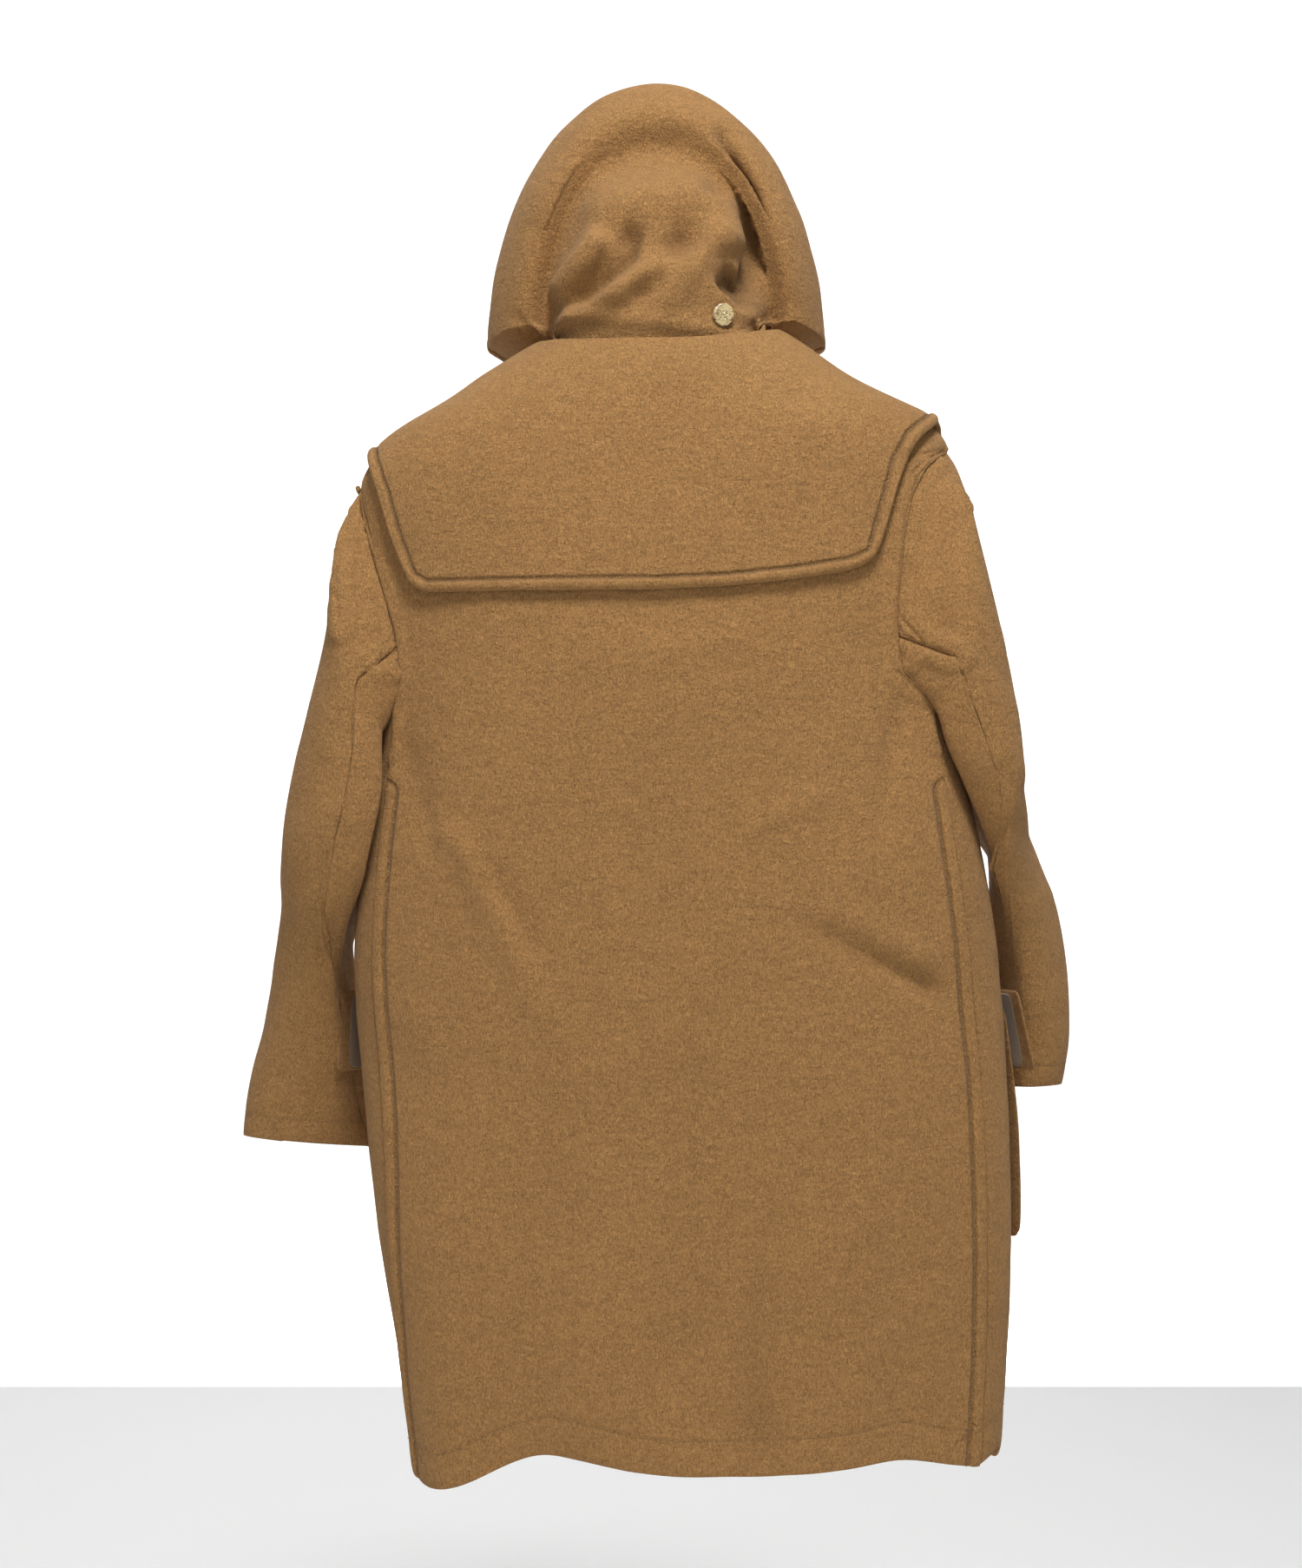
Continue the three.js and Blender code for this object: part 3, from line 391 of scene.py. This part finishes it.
def cord_material(name, base):
    material = new_material(name, 0.8, Specular_IOR_Level=0.3)
    p = Pattern(material)
    twist = p.add("ShaderNodeTexWave", bands_direction="DIAGONAL")
    twist.inputs["Scale"].default_value = 260.0
    twist.inputs["Distortion"].default_value = 1.5
    p.link(p.place, twist.inputs["Vector"])
    fine = p.noise(1500.0, detail=2.0)
    strands = p.ramp(twist.outputs["Fac"], [(0.2, (0.0,) * 3), (0.8, (0.8,) * 3)])
    colour = p.mix(strands, tone(base, 0.7), tone(base, 1.5))
    p.finish(colour, p.bump(fine, 0.2 * MM, 0.4, p.bump(twist.outputs["Fac"], 0.8 * MM, 0.7)))
    return material


def horn_material(name, base, stain, pale_share):
    """Polished horn with cloudy streaks."""
    material = new_material(name, 0.24, Specular_IOR_Level=0.5, Coat_Weight=0.35, Coat_Roughness=0.12)
    p = Pattern(material)
    streaks = p.noise(160.0, (0.4, 1.0, 1.0), detail=5.0, distortion=1.8)
    fine = p.noise(900.0, (0.3, 1.0, 1.0), detail=3.0)
    clouding = p.ramp(streaks, [(pale_share, (0.0,) * 3), (pale_share + 0.14, (1.0,) * 3)])
    colour = p.mix(clouding, base, stain)
    colour = p.mix(p.ramp(fine, [(0.45, (0.0,) * 3), (0.8, (0.35,) * 3)]), colour, tone(stain, 0.6))
    p.finish(colour, p.bump(streaks, 0.25 * MM, 0.2))
    return material


def surface_of(node):
    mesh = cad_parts[node].data
    corners = [vertex.co for vertex in mesh.vertices]
    return BVHTree.FromPolygons(corners, [tuple(face.vertices) for face in mesh.polygons])


def crease_butted_edges(shape, node):
    """Keeps a wall's edges square where they butt against another wall, so that the seam stays shut."""
    crease = shape.edges.layers.float.new("crease_edge")
    trees = []
    for other in BUTTED:
        if other != node:
            trees.append(surface_of(other))
    for edge in shape.edges:
        if len(edge.link_faces) == 2 and edge.calc_face_angle(0) > SHARP:
            spots = (edge.verts[0].co, edge.verts[1].co)
            if any(all(tree.find_nearest(spot, SEAM_REACH)[0] for spot in spots) for tree in trees):
                edge[crease] = 1.0


def quad_copy(node):
    """A node's mesh, merged and put back into quads."""
    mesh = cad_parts[node].data.copy()
    shape = bmesh.new()
    shape.from_mesh(mesh)
    bmesh.ops.remove_doubles(shape, verts=shape.verts, dist=0.02 * MM)
    bmesh.ops.join_triangles(
        shape,
        faces=shape.faces,
        angle_face_threshold=math.radians(50),
        angle_shape_threshold=math.radians(120),
    )
    if node in BUTTED:
        crease_butted_edges(shape, node)
    shape.to_mesh(mesh)
    shape.free()
    mesh.materials.clear()
    for layer in [layer.name for layer in mesh.uv_layers]:
        mesh.uv_layers.remove(mesh.uv_layers[layer])
    return mesh


def rim_points(mesh, chosen):
    """Points every few millimetres along the chosen sharp edges of a wall."""
    shape = bmesh.new()
    shape.from_mesh(mesh)
    points = []
    for edge in shape.edges:
        if len(edge.link_faces) != 2 or edge.calc_face_angle(0) < SHARP:
            continue
        start, end = (vertex.co for vertex in edge.verts)
        if not chosen((start + end) / 2, (end - start).normalized()):
            continue
        count = max(int((end - start).length / (2 * MM)), 1)
        points += [start.lerp(end, i / count) for i in range(count + 1)]
    shape.free()
    return points


def subdivided(name, mesh, levels):
    """The mesh with Catmull-Clark levels put in for good."""
    draft = bpy.data.objects.new(name + "_draft", mesh)
    bpy.context.scene.collection.objects.link(draft)
    modifier = draft.modifiers.new("Smooth", "SUBSURF")
    modifier.levels = modifier.render_levels = levels
    evaluated = draft.evaluated_get(bpy.context.evaluated_depsgraph_get())
    smooth = bpy.data.meshes.new_from_object(evaluated)
    bpy.data.objects.remove(draft)
    smooth.name = name
    return smooth


def arrays(mesh):
    count = len(mesh.vertices)
    points, normals = np.empty(count * 3), np.empty(count * 3)
    mesh.vertices.foreach_get("co", points)
    mesh.vertex_normals.foreach_get("vector", normals)
    return points.reshape(-1, 3), normals.reshape(-1, 3)


def smooth_step(start, end, x):
    t = np.clip((x - start) / (end - start), 0, 1)
    return t * t * (3 - 2 * t)


def fold_heights(piece, points, normals):
    """How far the piece's folds move each point outwards, in metres."""
    height = np.zeros(len(points))
    x, z = points[:, 0] / MM, points[:, 2] / MM
    facing = {
        "back": smooth_step(-0.05, 0.35, normals[:, 1]),
        "front": smooth_step(0.05, -0.35, normals[:, 1]),
    }
    for row in FOLDS:
        fold = dict(zip(FOLD_COLUMNS, row))
        if fold["piece"] != piece:
            continue
        dx, dz = fold["x2"] - fold["x1"], fold["z2"] - fold["z1"]
        t = np.clip(((x - fold["x1"]) * dx + (z - fold["z1"]) * dz) / (dx * dx + dz * dz), -0.15, 1.15)
        away = np.hypot(x - fold["x1"] - t * dx, z - fold["z1"] - t * dz)
        along = fold["start"] + (fold["end"] - fold["start"]) * np.clip(t, 0, 1)
        ends = smooth_step(-0.15, 0.15, t) * smooth_step(1.15, 0.85, t)
        height += along * ends * np.exp(-((away / fold["width"]) ** 2)) * facing[fold["view"]] * MM
    return height


def soft_noise(points, scale, seed):
    shift = Vector((seed * 7.3, seed * 3.1, seed * 5.7))
    return np.array([noise.noise(Vector(point) * scale + shift) for point in points])


def outward(points, normals, centre):
    away = points - np.array([c if c is not None else 0.0 for c in centre])
    if centre[2] is None:
        away[:, 2] = 0
    return np.einsum("ij,ij->i", away, normals) > 0


def relax(mesh, low, high, rounds):
    """Evens out the steps of a wall, moving each point towards the mean of its neighbours."""
    points, _ = arrays(mesh)
    ends = np.empty(len(mesh.edges) * 2, np.int32)
    mesh.edges.foreach_get("vertices", ends)
    near, far = np.concatenate([ends[::2], ends[1::2]]), np.concatenate([ends[1::2], ends[::2]])
    count = np.bincount(near, minlength=len(points))
    behind = (points[:, 1] - points[:, 1].min()) / MM
    share = 0.5 * smooth_step(low, high, points[:, 2] / MM) * smooth_step(*FRONT_KEPT, behind)
    for _ in range(rounds):
        for axis in range(3):
            mean = np.bincount(near, points[far, axis], len(points)) / count
            points[:, axis] += share * (mean - points[:, axis])
    mesh.vertices.foreach_set("co", points.ravel())
    mesh.update()


def dress_wall(node, material, slot, levels, lines=(), centre=BODY_CENTRE, wobble=0.6):
    """Replaces a CAD wall with smooth cloth on its form: folds, puffed edges and topstitch lines.

    Each line has the distance of the stitching from the edge, how much the edge puffs, how deep the
    stitching sinks, and a test that tells which edges carry it. Returns the stitching's paths.
    """
    rough = quad_copy(node)
    rims = [(inset, puff, sink, rim_points(rough, chosen)) for inset, puff, sink, chosen in lines]
    mesh = subdivided(node + "_cloth", rough, levels)
    if node in RELAXED:
        relax(mesh, *RELAXED[node])
    points, normals = arrays(mesh)
    outer = outward(points, normals, centre)
    side = np.where(outer, 1.0, -1.0)
    folds = fold_heights(node, points, normals * side[:, None])
    shift = side * folds
    nearest, depth, paths = np.full(len(points), NO_STITCHING), np.zeros(len(points)), []
    for inset, puff, sink, rim in rims:
        if not rim:
            continue
        tree = kdtree.KDTree(len(rim))
        for i, point in enumerate(rim):
            tree.insert(point, i)
        tree.balance()
        distance = np.array([tree.find(point)[2] for point in points]) / MM
        crown = smooth_step(0, 3.5, distance) * smooth_step(inset, inset * 0.6, distance)
        shift += np.where(outer, puff * crown * MM, 0)
        if sink == 0:
            continue
        signed = np.where(outer, distance - inset, NO_STITCHING)
        nearer = np.abs(signed) < np.abs(nearest)
        nearest[nearer], depth[nearer] = signed[nearer], sink
        shift -= np.where(outer, 0.8 * sink * MM * smooth_step(4.5, 0, np.abs(distance - inset)), 0)
        paths.append(signed)
    shift += np.where(outer, soft_noise(points, 28, len(node)) * wobble * MM, 0)
    moved = points + normals * shift[:, None]
    if node in LEANS:
        high, low, reach = LEANS[node]
        z = points[:, 2] / MM
        share = smooth_step(high, high - LEAN_RAMP, z) * smooth_step(low, low + LEAN_RAMP, z)
        moved[:, 0] += reach * MM * share
    mesh.vertices.foreach_set("co", moved.ravel())
    # fold_mm and stitch_depth also set the wool's painted shade in the fold hollows and along the stitch
    # lines.
    for name, values in (("stitch_mm", nearest), ("stitch_depth", depth), ("fold_mm", folds / MM)):
        mesh.attributes.new(name, "FLOAT", "POINT").data.foreach_set("value", values)
    mesh.update()
    piece = place_piece(node + "_cloth", mesh, material, slot, node)
    return [path for signed in paths for path in contour_paths(mesh, signed)]


def place_piece(name, mesh, material, slot, *nodes):
    piece = bpy.data.objects.new(name, mesh)
    bpy.context.scene.collection.objects.link(piece)
    mesh.materials.clear()
    mesh.materials.append(material)
    mesh.polygons.foreach_set("use_smooth", [True] * len(mesh.polygons))
    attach(piece, "root")
    if nodes:
        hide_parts(*nodes)
    return piece


def fill_seams(node, centre):
    """A soft welt of wool that closes the seams where a wall butts against others."""
    shape = bmesh.new()
    shape.from_mesh(quad_copy(node))
    crease = shape.edges.layers.float.get("crease_edge")
    guide = bmesh.new()
    for edge in shape.edges:
        middle = (edge.verts[0].co + edge.verts[1].co) / 2
        away = middle - Vector((centre[0], centre[1], middle.z))
        faces = sorted(edge.link_faces, key=lambda face: -away.dot(face.normal))
        seen = away.normalized().dot(faces[0].normal) >= 0.4
        if not (WELT_LOW < middle.z < WELT_HIGH and edge[crease] == 1 and seen):
            continue
        sunk = -faces[0].normal * WELT_SINK
        guide.edges.new([guide.verts.new(vertex.co + sunk) for vertex in edge.verts])
    bmesh.ops.remove_doubles(guide, verts=guide.verts, dist=3 * MM)
    lines = bpy.data.meshes.new(node + "_welt_lines")
    guide.to_mesh(lines)
    guide.free()
    shape.free()
    draft = bpy.data.objects.new(node + "_welt", lines)
    bpy.context.scene.collection.objects.link(draft)
    for selected in bpy.context.selected_objects:
        selected.select_set(False)
    draft.select_set(True)
    bpy.context.view_layer.objects.active = draft
    bpy.ops.object.convert(target="CURVE")
    draft.data.bevel_depth = WELT_RADIUS
    draft.data.bevel_resolution = 2
    draft.data.use_fill_caps = True
    mesh = bpy.data.meshes.new_from_object(draft.evaluated_get(bpy.context.evaluated_depsgraph_get()))
    bpy.data.objects.remove(draft)
    place_piece(node + "_welt", mesh, materials()["wool"], "wool")


def contour_paths(mesh, values):
    """Lines along which a vertex value crosses zero, each a list of points."""
    points, _ = arrays(mesh)
    crossings, links = {}, {}
    for polygon in mesh.polygons:
        ids = list(polygon.vertices)
        lowest, highest = min(values[i] for i in ids), max(values[i] for i in ids)
        if lowest >= 0 or highest < 0 or highest > FAR_FROM_STITCHING:
            continue
        keys = []
        for a, b in zip(ids, ids[1:] + ids[:1]):
            if (values[a] < 0) != (values[b] < 0):
                key = (min(a, b), max(a, b))
                t = values[a] / (values[a] - values[b])
                crossings[key] = points[a] + (points[b] - points[a]) * t
                keys.append(key)
        if len(keys) == 2:
            links.setdefault(keys[0], []).append(keys[1])
            links.setdefault(keys[1], []).append(keys[0])
    paths, used = [], set()
    starts = sorted(links, key=lambda key: (len(links[key]), key))
    for start in starts:
        if start in used:
            continue
        path, key = [], start
        while key is not None:
            used.add(key)
            path.append(crossings[key])
            key = next((other for other in links[key] if other not in used), None)
        if len(path) > 6:
            paths.append(path)
    return paths


def stitch_tree(material):
    """Geometry nodes that lay short thread stitches along curves."""
    tree = bpy.data.node_groups.new("Topstitching", "GeometryNodeTree")
    face = tree.interface
    face.new_socket("Paths", in_out="INPUT", socket_type="NodeSocketGeometry")
    inputs = {}
    for name, value in (("Length", 2.6 * MM), ("Spacing", 3.6 * MM), ("Radius", 0.32 * MM)):
        socket = face.new_socket(name, in_out="INPUT", socket_type="NodeSocketFloat")
        socket.default_value = value
        inputs[name] = socket.identifier
    face.new_socket("Stitches", in_out="OUTPUT", socket_type="NodeSocketGeometry")
    nodes, links = tree.nodes, tree.links
    start, end = nodes.new("NodeGroupInput"), nodes.new("NodeGroupOutput")
    curve = nodes.new("GeometryNodeMeshToCurve")
    resample = nodes.new("GeometryNodeResampleCurve")
    resample.mode = "LENGTH"
    thread = nodes.new("GeometryNodeMeshCylinder")
    thread.inputs["Vertices"].default_value = 6
    tangent = nodes.new("GeometryNodeInputTangent")
    align = nodes.new("FunctionNodeAlignRotationToVector")
    align.axis = "Z"
    instance = nodes.new("GeometryNodeInstanceOnPoints")
    realize = nodes.new("GeometryNodeRealizeInstances")
    paint = nodes.new("GeometryNodeSetMaterial")
    paint.inputs["Material"].default_value = material
    links.new(start.outputs["Paths"], curve.inputs["Mesh"])
    links.new(curve.outputs["Curve"], resample.inputs["Curve"])
    links.new(start.outputs["Spacing"], resample.inputs["Length"])
    links.new(start.outputs["Length"], thread.inputs["Depth"])
    links.new(start.outputs["Radius"], thread.inputs["Radius"])
    links.new(resample.outputs["Curve"], instance.inputs["Points"])
    links.new(thread.outputs["Mesh"], instance.inputs["Instance"])
    links.new(tangent.outputs["Tangent"], align.inputs["Vector"])
    links.new(align.outputs["Rotation"], instance.inputs["Rotation"])
    links.new(instance.outputs["Instances"], realize.inputs["Geometry"])
    links.new(realize.outputs["Geometry"], paint.inputs["Geometry"])
    links.new(paint.outputs["Geometry"], end.inputs["Stitches"])
    return tree, inputs


def sew(name, paths, slot="wool"):
    """Stitches along the paths, as one plain mesh."""
    points = [tuple(point) for path in paths for point in path]
    edges, first = [], 0
    for path in paths:
        edges += [(first + i, first + i + 1) for i in range(len(path) - 1)]
        first += len(path)
    guide = bpy.data.meshes.new(name + "_guide")
    guide.from_pydata(points, edges, [])
    draft = bpy.data.objects.new(name + "_draft", guide)
    bpy.context.scene.collection.objects.link(draft)
    modifier = draft.modifiers.new("Stitches", "NODES")
    thread = materials()["thread"]
    tree, inputs = stitch_tree(thread)
    modifier.node_group = tree
    modifier[inputs["Length"]] = looks().stitch_length
    modifier[inputs["Spacing"]] = looks().stitch_spacing
    modifier[inputs["Radius"]] = looks().stitch_radius
    evaluated = draft.evaluated_get(bpy.context.evaluated_depsgraph_get())
    mesh = bpy.data.meshes.new_from_object(evaluated)
    bpy.data.objects.remove(draft)
    place_piece(name, mesh, thread, slot)


MADE = {}


def materials():
    """The coat's finishes, made once."""
    if not MADE:
        MADE["wool"] = wool_material()
        MADE["satin"] = satin_material()
        MADE["leather"] = leather_material()
        MADE["cord"] = cord_material("braided_cord", tuple(looks().cord))
        MADE["thread"] = cord_material("sewing_thread", tuple(looks().thread))
        MADE["horn"] = horn_material("toggle_horn", tuple(looks().horn), (0.42, 0.22, 0.08), 0.5)
        pale = tuple(looks().pale_horn)
        MADE["pale_horn"] = horn_material("button_horn", pale, (0.16, 0.06, 0.02), 0.52)
    return MADE


def upright(along):
    return abs(along.z) > 0.7


def on_hem(spot, along):
    return spot.z < -0.86 and not upright(along)


def on_back_sides(spot, along):
    return abs(spot.x) > 0.14 and spot.z < -0.36 and upright(along)


def on_armholes(spot, along):
    return abs(spot.x) > 0.14 and -0.34 < spot.z < -0.1


def on_cape_edge(spot, along):
    tuck = -0.192 < spot.x < -0.15 and spot.y > 0.05 and spot.z > -0.1
    return math.hypot(spot.x, spot.y + 0.028) > 0.112 and not tuck


def on_hood_face(spot, along):
    return spot.y < -0.098 and spot.z > -0.04


def on_cuff(spot, along):
    return spot.z < -0.6 and not upright(along)


def on_any_edge(spot, along):
    return True


def on_front_edge(spot, along):
    return abs(spot.x) < 0.05 and spot.z > -0.9


def on_sleeve_head(spot, along):
    return spot.z > -0.26


class Builder(bpy.types.Operator):
    """What the coat's operators share."""

    bl_options = {"REGISTER", "UNDO"}

    def execute(self, context):
        self.build()
        return {"FINISHED"}


class COAT_OT_back(Builder):
    """Dress the back in wool, with lapped side seams and a turned hem"""

    bl_idname = "coat.back"
    bl_label = "Back"

    def build(self):
        lines = [(11.5, 0.5, 1.0, on_back_sides), (14.0, 1.6, 0, on_armholes), (30.0, 0.2, 0.15, on_hem)]
        paths = dress_wall("back", materials()["wool"], "wool", 3, lines)
        sew("back_stitches", paths)


class COAT_OT_fronts(Builder):
    """Dress both fronts in wool, with stitched edges and a turned hem"""

    bl_idname = "coat.fronts"
    bl_label = "Fronts"

    def build(self):
        paths = []
        for node in ("front_right", "front_left"):
            lines = [(30.0, 0.2, 0.15, on_hem)]
            if node == "front_left":
                lines.append((8.0, 0.4, 1.0, on_front_edge))
            paths += dress_wall(node, materials()["wool"], "wool", 2, lines)
        sew("front_stitches", paths)


class COAT_OT_cape(Builder):
    """Dress the yoke cape in wool, with its padded and stitched rim"""

    bl_idname = "coat.cape"
    bl_label = "Yoke cape"

    def build(self):
        lines = [(9.5, 1.3, 1.0, on_cape_edge)]
        paths = dress_wall("yoke_cape", materials()["wool"], "wool", 3, lines)
        sew("cape_stitches", paths)


class COAT_OT_hood(Builder):
    """Dress the slumped hood in wool, with its turned face edge"""

    bl_idname = "coat.hood"
    bl_label = "Hood"

    def build(self):
        lines = [(13.0, 1.2, 1.0, on_hood_face)]
        paths = dress_wall("hood", materials()["wool"], "wool", 3, lines, HOOD_CENTRE, wobble=1.2)
        sew("hood_stitches", paths)


class COAT_OT_sleeves(Builder):
    """Dress the two-piece sleeves in wool, with turned cuffs"""

    bl_idname = "coat.sleeves"
    bl_label = "Sleeves"

    def build(self):
        paths = []
        for side, x in (("left", 0.29), ("right", -0.3)):
            for part in ("upper", "under"):
                node = f"sleeve_{side}_{part}"
                wool = materials()["wool"]
                centre = (x, -0.04, None)
                levels = 3 if part == "upper" else 2
                lines = [(33.0, 0.3, 0.15, on_cuff), (16.0, 2.2, 0, on_sleeve_head)]
                paths += dress_wall(node, wool, "wool", levels, lines, centre, wobble=1.4)
                fill_seams(node, centre)
        sew("cuff_stitches", paths)


class COAT_OT_pockets(Builder):
    """Dress the patch pockets and their satin-lined flaps"""

    bl_idname = "coat.pockets"
    bl_label = "Pockets"

    def build(self):
        paths = []
        for side in ("left", "right"):
            for part in ("pocket", "flap"):
                lines = [(8.0, 0.6, 1.0, on_any_edge)]
                paths += dress_wall(f"{part}_{side}", materials()["wool"], "wool", 3, lines)
            dress_wall(f"flap_{side}_lining", materials()["satin"], "satin", 2, wobble=0.1)
        sew("pocket_stitches", paths)


class COAT_OT_closures(Builder):
    """Finish the horn toggles, their cords and the leather patches"""

    bl_idname = "coat.closures"
    bl_label = "Closures"

    def build(self):
        kinds = (
            ("toggle_cord_", "cord", "cord"),
            ("loop_cord_", "cord", "cord"),
            ("toggle_", "horn", "horn"),
        )
        for row in ("1", "2", "3"):
            for start, material, slot in kinds:
                node = start + row
                mesh = subdivided(node + "_smooth", quad_copy(node), 2)
                place_piece(node + "_smooth", mesh, materials()[material], slot, node)
            for side in ("left", "right"):
                node = f"patch_{side}_{row}"
                lines = [(3.0, 0.1, 0, on_any_edge)]
                dress_wall(node, materials()["leather"], "leather", 3, lines, wobble=0.1)


class COAT_OT_button(Builder):
    """Finish the hood's horn button and sew it on"""

    bl_idname = "coat.button"
    bl_label = "Hood button"

    def build(self):
        mesh = quad_copy("hood_button")
        horn = materials()["pale_horn"]
        place_piece("hood_button_horn", mesh, horn, "pale_horn", "hood_button")
        mesh.polygons.foreach_set("use_smooth", [False] * len(mesh.polygons))
        low, high = (Vector(corner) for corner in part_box("hood_button"))
        middle, toward = (low + high) / 2, Vector((0, -1, 0))
        face, arms = surface_of("hood_button"), []
        for across, up in ((1, 1), (1, -1)):
            arm = []
            for share in (-1, -0.5, 0, 0.5, 1):
                x, z = middle.x + across * share * THREAD_REACH, middle.z + up * share * THREAD_REACH
                spot = face.ray_cast(Vector((x, 1, z)), toward)[0]
                if spot is not None:
                    arm.append(spot)
            if len(arm) > 1:
                arms.append(arm)
        sew("button_thread", arms, "pale_horn")


class COAT_OT_stage(Builder):
    """Set the floor, the soft light and the camera"""

    bl_idname = "coat.stage"
    bl_label = "Stage"

    def build(self):
        add_camera()
        add_backdrop()
        for name, place, size, power in (
            ("key", (-0.2, 1.45, 2.2), 0.7, 84),
            ("fill", (0.5, 3.2, 0.4), 2.0, 12),
            ("top", (0.0, -0.4, 2.6), 2.2, 8),
            ("front", (0.6, -3.0, 1.4), 2.4, 40),
        ):
            add_light(name, place, size, power)
        add_light("wall", (0.0, -2.6, 0.2), 3.0, 260, (0.0, -7.5, 0.0))
        world = bpy.data.worlds.new("studio")
        world.use_nodes = True
        world.node_tree.nodes["Background"].inputs["Color"].default_value = (1, 1, 1, 1)
        world.node_tree.nodes["Background"].inputs["Strength"].default_value = 0.16
        bpy.context.scene.world = world
        bpy.context.scene.view_settings.view_transform = "Standard"


CAMERA_DISTANCE = 2.6
CAMERA_PLACE = (0.0036, CAMERA_DISTANCE, -0.362)


def add_camera():
    data = bpy.data.cameras.new("camera")
    data.sensor_fit = "VERTICAL"
    half = IMAGE_HEIGHT * PHOTO_MM_PER_PIXEL * MM / 2
    data.angle_y = 2 * math.atan(half / CAMERA_DISTANCE)
    camera = bpy.data.objects.new("camera", data)
    camera.location = CAMERA_PLACE
    camera.rotation_euler = (math.radians(90), 0, math.radians(180))
    bpy.context.scene.collection.objects.link(camera)
    bpy.context.scene.camera = camera


def add_light(name, place, size, power, target=(0, 0, -0.4)):
    data = bpy.data.lights.new(name, "AREA")
    data.size = size
    data.energy = power
    light = bpy.data.objects.new(name, data)
    light.location = place
    light.rotation_euler = (Vector(target) - Vector(place)).to_track_quat("-Z", "Y").to_euler()
    bpy.context.scene.collection.objects.link(light)


def add_backdrop():
    """A pale floor that curves up into a wall on every side."""
    low, radius, rise = -1.35, 6.0, 5.0
    profile = [(0.0, low), (radius, low)]
    for angle in np.linspace(0.2, math.pi / 2, 7):
        profile.append((radius + 1.5 * math.sin(angle), low + 1.5 * (1 - math.cos(angle))))
    profile.append((radius + 1.5, low + rise))
    turns = 64
    points = [(0.0, 0.0, low)]
    faces = []
    for r, z in profile[1:]:
        for i in range(turns):
            turn = 2 * math.pi * i / turns
            points.append((r * math.cos(turn), r * math.sin(turn), z))
    for i in range(turns):
        faces.append((0, 1 + i, 1 + (i + 1) % turns))
    for ring in range(len(profile) - 2):
        for i in range(turns):
            a, b = 1 + ring * turns + i, 1 + ring * turns + (i + 1) % turns
            faces.append((a, a + turns, b + turns, b))
    mesh = bpy.data.meshes.new("backdrop")
    mesh.from_pydata(points, [], faces)
    mesh.polygons.foreach_set("use_smooth", [True] * len(mesh.polygons))
    backdrop = bpy.data.objects.new("backdrop", mesh)
    bpy.context.scene.collection.objects.link(backdrop)
    material = new_material("pale_backdrop", 0.9)
    material.node_tree.nodes["Principled BSDF"].inputs["Base Color"].default_value = (0.9, 0.9, 0.9, 1)
    mesh.materials.append(material)


OPERATORS = (
    COAT_OT_stage,
    COAT_OT_back,
    COAT_OT_fronts,
    COAT_OT_cape,
    COAT_OT_hood,
    COAT_OT_sleeves,
    COAT_OT_pockets,
    COAT_OT_closures,
    COAT_OT_button,
)


class COAT_PT_looks(bpy.types.Panel):
    """The coat's colours and its building steps"""

    bl_idname = "COAT_PT_looks"
    bl_label = "Duffle coat"
    bl_space_type = "VIEW_3D"
    bl_region_type = "UI"
    bl_category = "Duffle coat"

    def draw(self, context):
        for name in CoatLooks.__annotations__:
            self.layout.prop(context.scene.coat_looks, name)
        for operator in OPERATORS:
            self.layout.operator(operator.bl_idname)


CLASSES = (CoatLooks, *OPERATORS, COAT_PT_looks)


def register():
    for cls in CLASSES:
        bpy.utils.register_class(cls)
    bpy.types.Scene.coat_looks = PointerProperty(type=CoatLooks)


def unregister():
    del bpy.types.Scene.coat_looks
    for cls in reversed(CLASSES):
        bpy.utils.unregister_class(cls)


def main():
    register()
    for operator in OPERATORS:
        group, name = operator.bl_idname.split(".")
        getattr(getattr(bpy.ops, group), name)()


if __name__ == "__main__":
    main()
